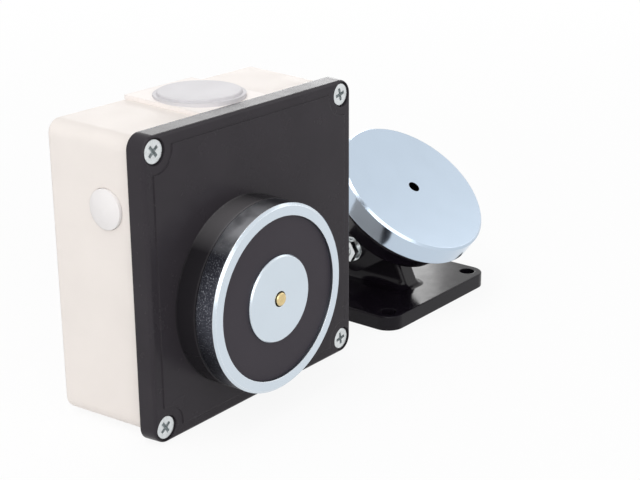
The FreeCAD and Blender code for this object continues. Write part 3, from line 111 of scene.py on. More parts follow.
# Zones of the finishes: radii, places and spans on the pieces.
KNOCK_OUT = 13.85 * MM
ENTRY_MIDDLE = -17.15 * MM
PIN_MOUTH = 2.40 * MM
DISC_BORE = 2.12 * MM
COLLAR_RIM = (28.55 * MM, 28.75 * MM)
# COLLAR_LIT and CUP_LIT span the painted highlights on the collar and on the cup's side; LIT_LEAN tilts
# them.
COLLAR_LIT = (25.2 * MM, 28.5 * MM)
CUP_LIT = (25.0 * MM, 28.0 * MM)
TURNED_SIDE = (24.4 * MM, 24.8 * MM)
# Span across the cup's side that is grainy and gets painted glints.
GRAIN_AND_GLINT_SIDE = (-24.0 * MM, -8.0 * MM)
RECESS_DEPTH = (0.10 * MM, 0.55 * MM)
LIT_LEAN = math.radians(22.0)

# Springs: node, joint and turns, then the wire and how finely it is meshed.
SPRINGS = (("pin_spring", "pin_push", 5.0), ("button_spring", "button_push", 3.0))
WIRE_HALF = 0.35 * MM
SPRING_PLAY = 0.02 * MM
STEPS_PER_TURN = 40
WIRE_SIDES = 10

# Stage: each lamp's name, place, size and the setting of its power; then the floor and the camera.
LIT_POINT = (0.02, -0.03, -0.01)
LAMPS = (
    ("key_lamp", (-0.75, -0.42, 0.50), (0.7, 0.7), "key_power"),
    ("front_lamp", (-0.40, -0.80, 0.30), (0.6, 0.6), "front_power"),
    ("fill_lamp", (0.75, -0.55, 0.35), (0.6, 0.6), "fill_power"),
    ("top_lamp", (-0.30, 0.06, 0.90), (0.5, 0.5), "top_power"),
    ("back_lamp", (0.86, 0.77, 0.29), (0.5, 0.34), "back_power"),
)
FLOOR_HALF = 3.0
FLOOR_FADE = (0.15, 0.7)
SENSOR_WIDTH = 36.0
NEAREST_SEEN = 0.01


def colour(name, description, default):
    """Colour property of a finish."""
    return FloatVectorProperty(name=name, description=description, subtype="COLOR", size=3, min=0.0,
                               max=1.0, default=default)


def length(name, description, default):
    """Length property in metres."""
    return FloatProperty(name=name, description=description, unit="LENGTH", subtype="DISTANCE", min=0.0,
                         default=default)


def share(name, description, default):
    """Share from nothing to one."""
    return FloatProperty(name=name, description=description, subtype="FACTOR", min=0.0, max=1.0,
                         default=default)


def angle(name, description, degrees):
    """Angle property, with its default in degrees."""
    return FloatProperty(name=name, description=description, unit="ROTATION", subtype="ANGLE",
                         default=math.radians(degrees))


def power(name, description, default):
    """Power of a lamp in watts."""
    return FloatProperty(name=name, description=description, subtype="POWER", min=0.0, default=default)


class DOORHOLDER_PG_mouldings(bpy.types.PropertyGroup):
    """Colours and gloss of the plastic, resin and painted pieces."""

    box_colour: colour("Box", "Cream of the moulded box", (0.83, 0.775, 0.735))
    entry_colour: colour("Cable entry", "Off-white of the cable entry", (0.94, 0.89, 0.86))
    boss_colour: colour("Knock-out", "Cooler white of the raised knock-out", (0.68, 0.665, 0.685))
    button_colour: colour("Button", "White of the release button", (0.82, 0.795, 0.79))
    cover_colour: colour("Cover", "Black of the moulded cover", (0.0340, 0.0300, 0.0352))
    collar_colour: colour("Collar", "Deeper black of the collar", (0.0170, 0.0155, 0.0180))
    # Painted highlight: lighter black on the collar's upper left, standing in for the light that falls
    # there.
    collar_highlight_colour: colour("Collar's patch", "Lit patch at the collar's upper left", (0.112, 0.107, 0.112))
    keeper_colour: colour("Keeper", "Black of the keeper's paint", (0.0075, 0.0058, 0.0090))
    resin_colour: colour("Resin", "Black of the cast resin", (0.044, 0.0385, 0.047))
    bobbin_colour: colour("Bobbin", "Natural plastic of the bobbin", (0.62, 0.57, 0.47))
    laminate_colour: colour("Board", "Green of the circuit board", (0.02, 0.16, 0.06))
    block_colour: colour("Terminal block", "Grey-green of the terminal block", (0.10, 0.22, 0.13))
    lead_colour: colour("Leads", "Red of the leads' sleeves", (0.40, 0.03, 0.02))
    part_colour: colour("Components", "Black of switch and diode", (0.015, 0.015, 0.016))
    box_roughness: share("Box roughness", "Roughness of the cream plastic", 0.50)
    cover_roughness: share("Cover roughness", "Roughness of the black plastic", 0.24)
    keeper_roughness: share("Keeper roughness", "Roughness of the glossy paint", 0.13)
    black_gloss: share("Black gloss", "Strength of the mirror on the black pieces", 0.11)
    keeper_gloss: share("Keeper gloss", "Strength of the mirror on the keeper's paint", 0.16)
    moulding_grain: length("Moulding grain", "Grain of moulded plastic", 0.45 * MM)
    cover_edge: length("Cover edge", "Width of the cover's softened edges", 0.5 * MM)
    edge_width: length("Edge width", "Width of the softened and worn edges", 0.35 * MM)


class DOORHOLDER_PG_metals(bpy.types.PropertyGroup):
    """Colours, gloss and grain of the metal pieces."""

    magnet_colour: colour("Magnet", "Pale blue zinc of ring and pole", (0.64, 0.715, 0.785))
    # Dark tone of the cup's turned side, much darker than the zinc of its faces.
    side_colour: colour("Magnet's side", "Dark plating on the side of the cup", (0.060, 0.062, 0.078))
    # Painted highlight: lighter zinc on the upper left of the cup's side, where light falls.
    side_highlight_colour: colour("Upper side", "Lit patch at the upper left of the cup's side", (0.66, 0.67, 0.70))
    # Painted glints: bright specks laid into the dark tone of the cup's side.
    painted_glint_colour: colour("Glints", "Bright grains in the dark plating", (0.70, 0.73, 0.80))
    disc_colour: colour("Disc", "Pale blue zinc of the disc", (0.525, 0.62, 0.73))
    # Painted shade down in the screws' cross recesses: dull grey, not metal.
    recess_shade_colour: colour("Recesses", "Grey down in the screws' cross recesses", (0.38, 0.43, 0.44))
    # Painted shade inside small bores, also used on the screw seen through the disc's bore.
    bore_shade_colour: colour("Bores", "Dark steel inside small bores", (0.030, 0.024, 0.018))
    hardware_colour: colour("Hardware", "Zinc of the screws and the pivot", (0.70, 0.73, 0.74))
    brass_colour: colour("Brass", "Yellow of the release pin", (0.72, 0.57, 0.30))
    copper_colour: colour("Copper", "Enamelled copper of the winding", (0.48, 0.16, 0.06))
    spring_colour: colour("Springs", "Grey of the spring wire", (0.42, 0.42, 0.43))
    face_roughness: share("Face roughness", "Roughness of the plated faces", 0.24)
    side_roughness: share("Side roughness", "Roughness of the dark side", 0.38)
    rim_roughness: share("Rim roughness", "Roughness of the disc's polished rim", 0.13)
    plating_grain: length("Plating grain", "Grain of the plating on turned sides", 0.38 * MM)
    turning_pitch: length("Turning pitch", "Spacing of the turning marks on the faces", 0.30 * MM)
    worn_edge: length("Worn edge", "Width of the rubbed edges", 0.30 * MM)


class DOORHOLDER_PG_stage(bpy.types.PropertyGroup):
    """Camera, light and floor."""

    camera_place: FloatVectorProperty(name="Camera place", description="Where the camera stands", size=3,
                                      subtype="TRANSLATION", unit="LENGTH",
                                      default=(-0.301678, -0.302265, 0.144486))
    camera_azimuth: angle("Azimuth", "Turn of the view from straight in", 51.466)
    camera_elevation: angle("Elevation", "Dip of the view", 19.271)
    camera_roll: angle("Roll", "Lean of the camera", -0.363)
    lens: FloatProperty(name="Lens", description="Focal length on a 36 mm sensor, in millimetres",
                        default=81.06)
    world_level: FloatProperty(name="Room light", description="Strength of the even light", min=0.0,
                               default=0.50)
    key_power: power("Key", "Power of the key lamp", 2.8)
    front_power: power("Front", "Power of the front lamp", 1.6)
    fill_power: power("Fill", "Power of the fill lamp", 1.0)
    top_power: power("Top", "Power of the top lamp", 2.2)
    back_power: power("Back", "Power of the back lamp", 1.9)
    floor_colour: colour("Floor", "Colour of the floor", (0.92, 0.92, 0.92))
    floor_glow: share("Floor white", "Share of plain white that the camera sees on the floor", 0.90)


class Finish:
    """Material under construction: its node tree and its shader."""

    def __init__(self, name):
        self.material = bpy.data.materials.new(name)
        self.material.use_nodes = True
        self.tree = self.material.node_tree
        self.shader = self.tree.nodes["Principled BSDF"]
        self.tone = None
        self.blur = None

    def add(self, kind, **inputs):
        """Add a node; settings and unlinked inputs are given by name, with spaces as underscores."""
        node = self.tree.nodes.new(kind)
        for key, entry in inputs.items():
            socket = node.inputs.get(key.replace("_", " "))
            if socket is None:
                setattr(node, key, entry)
            else:
                socket.default_value = entry
        return node

    def link(self, start, end):
        """Join an output to an input."""
        self.tree.links.new(start, end)

    def place(self, centre=(0.0, 0.0, 0.0), turn=(0.0, 0.0, 0.0)):
        """Coordinates in the piece's own frame, counted from a centre and turned with it."""
        source = self.add("ShaderNodeTexCoord").outputs["Object"]
        mapping = self.add("ShaderNodeMapping", vector_type="TEXTURE", Location=centre, Rotation=turn)
        self.link(source, mapping.inputs["Vector"])
        return mapping.outputs["Vector"]

    def noise(self, where, size, detail=2.0, rough=0.5):
        """Cloudy pattern of a size."""
        node = self.add("ShaderNodeTexNoise", Scale=1.0 / size, Detail=detail, Roughness=rough)
        self.link(where, node.inputs["Vector"])
        return node.outputs["Fac"]

    def math(self, operation, first, second=None):
        """Sum, product and the like of sockets or numbers."""
        node = self.add("ShaderNodeMath", operation=operation)
        for index, entry in enumerate((first, second)):
            if entry is None:
                continue
            if isinstance(entry, (int, float)):
                node.inputs[index].default_value = entry
            else:
                self.link(entry, node.inputs[index])
        return node.outputs[0]

    def spread(self, value, low, high, start=0.0, end=1.0):
        """Stretch a pattern from start and end to low and high."""
        node = self.add("ShaderNodeMapRange", From_Min=start, From_Max=end, To_Min=low, To_Max=high)
        self.link(value, node.inputs["Value"])
        return node.outputs["Result"]

    def tint(self, value, *stops):
        """Colour for each value of a pattern, from (place, colour) stops."""
        node = self.add("ShaderNodeValToRGB")
        band = node.color_ramp
        for index, (place, shade) in enumerate(stops):
            stop = band.elements[index] if index < 2 else band.elements.new(place)
            stop.position = place
            stop.color = (*shade, 1.0)
        self.link(value, node.inputs["Fac"])
        return node.outputs["Color"]

    def blend_colours(self, factor, first, second):
        """Mix two colours by a factor."""
        node = self.add("ShaderNodeMix", data_type="RGBA")
        self.link(factor, node.inputs["Factor"])
        for label, entry in (("A", first), ("B", second)):
            socket = next(item for item in node.inputs if item.name == label and item.type == "RGBA")
            if isinstance(entry, tuple):
                socket.default_value = (*entry, 1.0)
            else:
                self.link(entry, socket)
        return next(item for item in node.outputs if item.type == "RGBA")

    def soft_edges(self, width):
        """Normal with softened edges, and a mask that is one along them."""
        rounded = self.add("ShaderNodeBevel", samples=4, Radius=width).outputs["Normal"]
        true_normal = self.add("ShaderNodeNewGeometry").outputs["Normal"]
        facing = self.add("ShaderNodeVectorMath", operation="DOT_PRODUCT")
        self.link(rounded, facing.inputs[0])
        self.link(true_normal, facing.inputs[1])
        return rounded, self.spread(facing.outputs["Value"], 1.0, 0.0, 0.90, 1.0)

    def emboss(self, height, depth, normal=None, strength=1.0):
        """Raise the surface by a pattern, and return the new normal."""
        node = self.add("ShaderNodeBump", Strength=strength, Distance=depth)
        self.link(height, node.inputs["Height"])
        if normal is not None:
            self.link(normal, node.inputs["Normal"])
        return node.outputs["Normal"]

    def wear(self, **sockets):
        """Feed the shader's own inputs from sockets or plain numbers, and return the finish."""
        for key, entry in sockets.items():
            socket = self.shader.inputs[key.replace("_", " ")]
            if isinstance(entry, (int, float, tuple)):
                socket.default_value = entry
            else:
                self.link(entry, socket)
        return self


def scaled(shade, factor):
    """Colour made darker or lighter."""
    return tuple(min(channel * factor, 1.0) for channel in shade)


def mouldings():
    """Settings of the moulded and painted pieces."""
    return bpy.context.scene.door_holder_mouldings


def metals():
    """Settings of the metal pieces."""
    return bpy.context.scene.door_holder_metals


def stage_settings():
    """Stage settings of the scene."""
    return bpy.context.scene.door_holder_stage


def moulded_plastic(name, shade, roughness, grain, relief=0.012 * MM, gloss=0.3):
    """Moulded plastic: cloudy tone, fine grain, softened edges that are a little lighter."""
    settings = mouldings()
    finish = Finish(name)
    where = finish.place()
    cloud = finish.noise(where, 22 * MM, 3.0)
    base = finish.tint(cloud, (0.30, scaled(shade, 0.975)), (0.70, scaled(shade, 1.02)))
    fine = finish.noise(where, grain, 2.0)
    normal, edge = finish.soft_edges(settings.edge_width)
    worn = finish.blend_colours(finish.math("MULTIPLY", edge, 0.35), base, scaled(shade, 1.06))
    smudge = finish.noise(where, 9 * MM, 4.0, 0.6)
    finish.wear(
        Base_Color=worn, Roughness=finish.spread(smudge, roughness - 0.05, roughness + 0.06, 0.3, 0.7),
        Normal=finish.emboss(fine, relief, normal), Specular_IOR_Level=gloss)
    finish.tone = worn
    return finish


def distance_from_axis(finish, where):
    """Distance of a point from the third axis of its coordinates, and the parts of those coordinates."""
    apart = finish.add("ShaderNodeSeparateXYZ")
    finish.link(where, apart.inputs["Vector"])
    across = finish.math("MULTIPLY", apart.outputs["X"], apart.outputs["X"])
    upward = finish.math("MULTIPLY", apart.outputs["Y"], apart.outputs["Y"])
    return finish.math("SQRT", finish.math("ADD", across, upward)), apart


def toward_light(finish, apart):
    """How far a point of a turned piece lies to its upper left, where the photograph's light falls."""
    upward = finish.math("MULTIPLY", apart.outputs["Y"], math.cos(LIT_LEAN))
    sideways = finish.math("MULTIPLY", apart.outputs["X"], math.sin(LIT_LEAN))
    return finish.math("SUBTRACT", upward, sideways)


def entry_finish(settings):
    """Off-white plastic of the cable entry, a little cooler on its raised knock-out."""
    finish = moulded_plastic("entry_plastic", settings.entry_colour, settings.box_roughness + 0.08,
                             settings.moulding_grain)
    low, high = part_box("cable_entry_insert")
    raised_rim = Vector(((low.x + high.x) / 2, ENTRY_MIDDLE, high.z))
    radius, _ = distance_from_axis(finish, finish.place(raised_rim))
    boss = finish.spread(radius, 1.0, 0.0, KNOCK_OUT - 0.05 * MM, KNOCK_OUT + 0.05 * MM)
    return finish.wear(Base_Color=finish.blend_colours(boss, finish.tone, tuple(settings.boss_colour)))


def black_finish(name, shade, roughness, edge_width, gloss, peel=0.006 * MM, specks_shown=0.25):
    """Black moulding or paint: faint orange peel, dust specks, and edges rubbed a little lighter."""
    finish = Finish(name)
    where = finish.place()
    cloud = finish.noise(where, 14 * MM, 3.0)
    base = finish.tint(cloud, (0.3, scaled(shade, 0.94)), (0.7, scaled(shade, 1.07)))
    specks = finish.noise(where, 0.55 * MM, 1.0)
    dust = finish.spread(specks, 0.0, 1.0, 0.72, 0.80)
    normal, edge = finish.soft_edges(edge_width)
    rubbed = finish.blend_colours(finish.math("MULTIPLY", edge, 0.04), base, scaled(shade, 3.0))
    dusty = finish.blend_colours(finish.math("MULTIPLY", dust, specks_shown), rubbed, (0.05, 0.05, 0.052))
    smear = finish.noise(where, 6 * MM, 4.0, 0.6)
    ripple = finish.noise(where, 2.2 * MM, 2.0)
    blur = finish.spread(smear, roughness - 0.03, roughness + 0.05, 0.3, 0.7)
    finish.wear(Base_Color=dusty, Roughness=blur, Normal=finish.emboss(ripple, peel, normal),
                Specular_IOR_Level=gloss)
    finish.tone = dusty
    finish.blur = blur
    return finish


def cover_finish(settings):
    """Satin black cover whose round collar is deeper and glossier, with a painted highlight at its upper
    left.
    """
    finish = black_finish("cover_satin", settings.cover_colour, settings.cover_roughness,
                          settings.cover_edge, settings.black_gloss, peel=0.001 * MM, specks_shown=0.10)
    radius, apart = distance_from_axis(finish, finish.place(MAGNET_AXIS, FACING_OUT))
    collar = finish.spread(radius, 1.0, 0.0, *COLLAR_RIM)
    # Painted highlight: the collar turns lighter towards its upper left.
    painted_highlight = finish.spread(toward_light(finish, apart), 0.0, 1.0, *COLLAR_LIT)
    collar_and_highlight_tone = finish.blend_colours(painted_highlight, tuple(settings.collar_colour), tuple(settings.collar_highlight_colour))
    tone = finish.blend_colours(collar, finish.tone, collar_and_highlight_tone)
    gloss = finish.math("MULTIPLY", finish.blur, finish.spread(collar, 1.0, 0.9))
    return finish.wear(Base_Color=tone, Roughness=gloss)


def turned_zinc(name, centre, turn, face_shade, side_shade, side_roughness, bore, grain_and_glints, upper,
                edge_shine):
    """Plated turned steel: turning marks on the faces, a granular side with painted glints and a painted
    highlight, painted shade in the bore.
    """
    settings = metals()
    finish = Finish(name)
    where = finish.place(centre, turn)
    radius, apart = distance_from_axis(finish, where)
    marks = finish.math("SINE", finish.math("MULTIPLY", radius, 2 * math.pi / settings.turning_pitch))
    normal_source = finish.add("ShaderNodeTexCoord").outputs["Normal"]
    spin = finish.add("ShaderNodeVectorRotate", rotation_type="EULER_XYZ", Rotation=turn, invert=True)
    finish.link(normal_source, spin.inputs["Vector"])
    facing = finish.add("ShaderNodeSeparateXYZ")
    finish.link(spin.outputs["Vector"], facing.inputs["Vector"])
    steep = finish.spread(finish.math("ABSOLUTE", facing.outputs["Z"]), 1.0, 0.0, 0.15, 0.55)
    side = finish.math("MULTIPLY", steep, finish.spread(radius, 0.0, 1.0, *TURNED_SIDE))
    grain = finish.noise(where, settings.plating_grain, 2.0, 0.6)
    # Zone at the side's left with grain bumps and painted glints, patchy through the mottle.
    grain_and_glint_side = finish.spread(apart.outputs["X"], 1.0, 0.25, *GRAIN_AND_GLINT_SIDE)
    mottle = finish.spread(finish.noise(where, 9 * MM, 2.0), 0.3, 1.0, 0.40, 0.60)
    patch = finish.math("MULTIPLY", grain_and_glint_side, mottle)
    painted_glints = finish.math("MULTIPLY", finish.spread(grain, 0.0, grain_and_glints, 0.57, 0.70), patch)
    cloud = finish.noise(where, 12 * MM, 2.0)
    face_tone = finish.tint(cloud, (0.3, scaled(face_shade, 0.985)), (0.7, scaled(face_shade, 1.015)))
    plain_side = finish.tint(grain, (0.35, scaled(side_shade, 1 - 0.3 * grain_and_glints)),
                             (0.68, scaled(side_shade, 1 + 0.3 * grain_and_glints)))
    # Painted highlight on the side's upper left, broken up by a streaky noise; 'upper' sets its strength.
    lit = finish.spread(toward_light(finish, apart), 0.0, upper, *CUP_LIT)
    highlight_streak = finish.spread(finish.noise(where, 7 * MM, 2.0), 0.5, 1.0, 0.40, 0.60)
    shown = finish.math("MULTIPLY", lit, highlight_streak)
    plated = finish.blend_colours(shown, plain_side, tuple(settings.side_highlight_colour))
    side_tone = finish.blend_colours(painted_glints, plated, tuple(settings.painted_glint_colour))
    base = finish.blend_colours(side, face_tone, side_tone)
    normal, edge = finish.soft_edges(settings.worn_edge)
    bright = finish.blend_colours(finish.math("MULTIPLY", edge, edge_shine), base, (0.90, 0.92, 0.93))
    # Painted shade: the walls of the bore are made dark.
    inside = finish.spread(radius, 1.0, 0.0, bore - 0.04 * MM, bore)
    tone = finish.blend_colours(inside, bright, tuple(settings.bore_shade_colour))
    ridges = finish.math("MULTIPLY", marks, finish.math("SUBTRACT", 1.0, side))
    granular = finish.math("MULTIPLY", finish.math("MULTIPLY", grain, side), patch)
    raised = finish.emboss(granular, 0.04 * MM, normal, 0.5 * grain_and_glints)
    turned = finish.emboss(ridges, 0.0005 * MM, raised, 0.4)
    rough = settings.face_roughness
    face_blur = finish.spread(finish.noise(where, 9 * MM, 2.0), rough - 0.01, rough + 0.02, 0.3, 0.7)
    drop = finish.math("MULTIPLY", side, finish.math("SUBTRACT", face_blur, side_roughness))
    blur = finish.math("SUBTRACT", face_blur, drop)
    return finish.wear(Base_Color=tone, Metallic=1.0, Roughness=blur, Normal=turned)


def plain_metal(name, shade, roughness, size=1.2 * MM):
    """Metal of small fasteners, pins, wire and windings, with a fine uneven skin."""
    finish = Finish(name)
    where = finish.place()
    skin = finish.noise(where, size, 3.0, 0.6)
    base = finish.tint(skin, (0.3, scaled(shade, 0.86)), (0.7, scaled(shade, 1.08)))
    normal, edge = finish.soft_edges(metals().worn_edge * 0.7)
    bright = finish.blend_colours(finish.math("MULTIPLY", edge, 0.5), base, scaled(shade, 1.25))
    finish.tone = bright
    blur = finish.spread(skin, roughness - 0.05, roughness + 0.08, 0.3, 0.7)
    return finish.wear(Base_Color=bright, Metallic=1.0, Roughness=blur,
                       Normal=finish.emboss(skin, 0.004 * MM, normal))


def screw_finish(settings):
    """Zinc of the cover screws, with painted shade of dull grey down in their cross recesses."""
    finish = plain_metal("screw_zinc", settings.hardware_colour, roughness=0.30)
    apart = finish.add("ShaderNodeSeparateXYZ")
    finish.link(finish.place(), apart.inputs["Vector"])
    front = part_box("cover_screws")[0].y
    shallow, deep = RECESS_DEPTH
    # Painted shade: deeper in the recess, the zinc gives way to dull grey.
    recess_shade = finish.spread(apart.outputs["Y"], 0.0, 0.8, front + shallow, front + deep)
    tone = finish.blend_colours(recess_shade, finish.tone, tuple(settings.recess_shade_colour))
    return finish.wear(Base_Color=tone, Metallic=finish.spread(recess_shade, 1.0, 0.0))


def dress(finish, *names):
    """Give nodes of the frame their finish."""
    for name in names:
        for entry in NODES[name].material_slots:
            entry.material = finish.material


class PieceOperator:
    """Shared settings of the operators."""

    bl_options = {"REGISTER", "UNDO"}


class DOORHOLDER_OT_back_box(PieceOperator, bpy.types.Operator):
    """Finish the moulded wall box"""

    bl_idname = "doorholder.back_box"
    bl_label = "Wall box"

    def execute(self, context):
        settings = mouldings()
        dress(moulded_plastic("cream_plastic", settings.box_colour, settings.box_roughness,
                              settings.moulding_grain), "back_box")
        return {"FINISHED"}


class DOORHOLDER_OT_cable_entry(PieceOperator, bpy.types.Operator):
    """Finish the cable entry with its knock-out"""

    bl_idname = "doorholder.cable_entry"
    bl_label = "Cable entry"

    def execute(self, context):
        dress(entry_finish(mouldings()), "cable_entry_insert")
        return {"FINISHED"}


class DOORHOLDER_OT_button(PieceOperator, bpy.types.Operator):
    """Finish the release button"""

    bl_idname = "doorholder.button"
    bl_label = "Release button"

    def execute(self, context):
        settings = mouldings()
        dress(moulded_plastic("button_plastic", settings.button_colour, settings.box_roughness - 0.1,
                              settings.moulding_grain), "button_cap")
        return {"FINISHED"}


class DOORHOLDER_OT_cover(PieceOperator, bpy.types.Operator):
    """Finish the black cover and its collar"""

    bl_idname = "doorholder.cover"
    bl_label = "Cover"

    def execute(self, context):
        dress(cover_finish(mouldings()), "front_cover")
        return {"FINISHED"}


class DOORHOLDER_OT_cover_screws(PieceOperator, bpy.types.Operator):
    """Finish the four cover screws"""

    bl_idname = "doorholder.cover_screws"
    bl_label = "Cover screws"

    def execute(self, context):
        dress(screw_finish(metals()), "cover_screws")
        return {"FINISHED"}


class DOORHOLDER_OT_magnet(PieceOperator, bpy.types.Operator):
    """Finish the magnet's cup and pole, and the resin between them"""

    bl_idname = "doorholder.magnet"
    bl_label = "Magnet"

    def execute(self, context):
        settings = metals()
        zinc = turned_zinc("magnet_zinc", MAGNET_AXIS, FACING_OUT, settings.magnet_colour,
                           settings.side_colour, settings.side_roughness, PIN_MOUTH, grain_and_glints=0.65, upper=1.0,
                           edge_shine=0.6)
        dress(zinc, "magnet_cup", "pole_core")
        resin = moulded_plastic("cast_resin", mouldings().resin_colour, 0.42, 0.8 * MM,
                                gloss=mouldings().black_gloss)
        dress(resin, "potting_ring")
        return {"FINISHED"}


class DOORHOLDER_OT_release_pin(PieceOperator, bpy.types.Operator):
    """Finish the brass release pin"""

    bl_idname = "doorholder.release_pin"
    bl_label = "Release pin"

    def execute(self, context):
        dress(plain_metal("pin_brass", metals().brass_colour, roughness=0.28), "release_pin")
        return {"FINISHED"}


class DOORHOLDER_OT_coil(PieceOperator, bpy.types.Operator):
    """Finish the coil's bobbin and winding"""

    bl_idname = "doorholder.coil"
    bl_label = "Coil"

    def execute(self, context):
        settings = mouldings()
        dress(moulded_plastic("bobbin_plastic", settings.bobbin_colour, 0.5, settings.moulding_grain),
              "coil_bobbin")
        copper = plain_metal("winding_copper", metals().copper_colour, roughness=0.35, size=0.5 * MM)
        dress(copper, "coil_winding")
        return {"FINISHED"}


def wound_spring(name, joint, turns, wire):
    """Wind a round-wire spring in the place of a square-wire node."""
    low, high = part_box(name)
    along = Vector(JOINTS[joint]["axis"])
    way = max(range(3), key=lambda index: abs(along[index]))
    first, second = [index for index in range(3) if index != way]
    centre = (low + high) / 2
    coil = max(high[first] - low[first], high[second] - low[second]) / 2 - wire
    start, end = low[way] + wire + SPRING_PLAY, high[way] - wire - SPRING_PLAY
    steps = int(turns * STEPS_PER_TURN)
    points = []
    for step in range(steps + 1):
        swing = 2 * math.pi * step / STEPS_PER_TURN
        height = start + (end - start) * step / steps
        for corner in range(WIRE_SIDES):
            around = 2 * math.pi * corner / WIRE_SIDES
            out = coil + wire * math.cos(around)
            point = Vector((0.0, 0.0, 0.0))
            point[way] = height + wire * math.sin(around)
            point[first] = centre[first] + out * math.cos(swing)
            point[second] = centre[second] + out * math.sin(swing)
            points.append(point)
    last_ring = steps * WIRE_SIDES
    faces = [tuple(range(WIRE_SIDES)), tuple(last_ring + corner for corner in reversed(range(WIRE_SIDES)))]
    for step in range(steps):
        for corner in range(WIRE_SIDES):
            after = (corner + 1) % WIRE_SIDES
            ring = step * WIRE_SIDES
            next_ring = ring + WIRE_SIDES
            faces.append((ring + corner, next_ring + corner, next_ring + after, ring + after))
    mesh = bpy.data.meshes.new(f"{name}_wire")
    mesh.from_pydata(points, [], faces)
    mesh.validate()
    mesh.polygons.foreach_set("use_smooth", [True] * len(mesh.polygons))
    piece = bpy.data.objects.new(f"{name}_wire", mesh)
    bpy.context.scene.collection.objects.link(piece)
    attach(piece, "fixed")
    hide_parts(name)
    anchor = centre.copy()
    anchor[way] = high[way] if along[way] > 0 else low[way]
    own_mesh(piece)
    return piece


class DOORHOLDER_OT_springs(PieceOperator, bpy.types.Operator):
    """Wind and finish the springs of pin and button"""

    bl_idname = "doorholder.springs"
    bl_label = "Springs"

    def execute(self, context):
        finish = plain_metal("spring_wire", metals().spring_colour, roughness=0.3)
        dress(finish, "pin_spring", "button_spring")
        for name, joint, turns in SPRINGS:
            wound_spring(name, joint, turns, WIRE_HALF).data.materials.append(finish.material)
        return {"FINISHED"}


class DOORHOLDER_OT_inner_fasteners(PieceOperator, bpy.types.Operator):
    """Finish the screws, washers and plug inside the box"""

    bl_idname = "doorholder.inner_fasteners"
    bl_label = "Inner fasteners"

    def execute(self, context):
        zinc = plain_metal("inner_zinc", metals().hardware_colour, roughness=0.32)
        dress(zinc, "spring_plug", "magnet_screws", "magnet_washers", "board_screws", "terminal_screws",
              "switch_screws")
        return {"FINISHED"}


class DOORHOLDER_OT_board(PieceOperator, bpy.types.Operator):
    """Finish the circuit board and what it carries"""

    bl_idname = "doorholder.board"
    bl_label = "Circuit board"

    def execute(self, context):
        settings = mouldings()
        grain = settings.moulding_grain
        dress(moulded_plastic("board_laminate", settings.laminate_colour, 0.4, grain), "circuit_board")
        dress(moulded_plastic("block_plastic", settings.block_colour, 0.45, grain), "terminal_block")
        dress(black_finish("component_black", settings.part_colour, 0.35, settings.edge_width,
                           settings.black_gloss), "suppressor_diode", "switch_body")
        return {"FINISHED"}


class DOORHOLDER_OT_leads(PieceOperator, bpy.types.Operator):
    """Finish the leads of coil and switch"""

    bl_idname = "doorholder.leads"
    bl_label = "Leads"

    def execute(self, context):
        settings = mouldings()
        dress(moulded_plastic("lead_sleeve", settings.lead_colour, 0.45, settings.moulding_grain),
              "coil_leads", "switch_leads")
        return {"FINISHED"}


class DOORHOLDER_OT_keeper(PieceOperator, bpy.types.Operator):
    """Finish the keeper's base and holder"""

    bl_idname = "doorholder.keeper"
    bl_label = "Keeper"

    def execute(self, context):
        settings = mouldings()
        dress(black_finish("keeper_paint", settings.keeper_colour, settings.keeper_roughness, 0.5 * MM,
                           settings.keeper_gloss), "keeper_base", "keeper_holder")
        return {"FINISHED"}


class DOORHOLDER_OT_armature(PieceOperator, bpy.types.Operator):
    """Finish the keeper's disc and the screw behind it"""

    bl_idname = "doorholder.armature"
    bl_label = "Disc"

    def execute(self, context):
        settings = metals()
        disc = turned_zinc("disc_zinc", PIVOT, (DISC_TILT, 0.0, 0.0), settings.disc_colour,
                           settings.disc_colour, settings.rim_roughness, DISC_BORE, grain_and_glints=0.01, upper=0.0,
                           edge_shine=0.1)
        dress(disc, "armature_disc")
        # The screw behind the disc gets the painted bore shade.
        dress(plain_metal("screw_black", settings.bore_shade_colour, roughness=0.45), "armature_screw")
        return {"FINISHED"}


class DOORHOLDER_OT_pivot(PieceOperator, bpy.types.Operator):
    """Finish the pivot's bolt, washers and nut"""

    bl_idname = "doorholder.pivot"
    bl_label = "Pivot"

    def execute(self, context):
        zinc = plain_metal("pivot_zinc", metals().hardware_colour, roughness=0.2)
        dress(zinc, "pivot_bolt", "pivot_washers", "pivot_spring_washer", "pivot_nut")
        return {"FINISHED"}


def seen_by_eye(tree):
    """Socket that is one for camera, mirror and glass rays."""
    rays = tree.nodes.new("ShaderNodeLightPath")
    total = rays.outputs["Is Camera Ray"]
    for name in ("Is Glossy Ray", "Is Transmission Ray"):
        most = tree.nodes.new("ShaderNodeMath")
        most.operation = "MAXIMUM"
        tree.links.new(total, most.inputs[0])
        tree.links.new(rays.outputs[name], most.inputs[1])
        total = most.outputs[0]
    return total


def set_world(level):
    """Even light, with plain white where it is seen."""
    world = bpy.data.worlds.new("studio")
    world.use_nodes = True
    tree = world.node_tree
    ground = tree.nodes["Background"]
    ground.inputs["Color"].default_value = (1.0, 1.0, 1.0, 1.0)
    strength = tree.nodes.new("ShaderNodeMapRange")
    strength.inputs["To Min"].default_value = level
    strength.inputs["To Max"].default_value = 1.0
    tree.links.new(seen_by_eye(tree), strength.inputs["Value"])
    tree.links.new(strength.outputs["Result"], ground.inputs["Strength"])
    bpy.context.scene.world = world


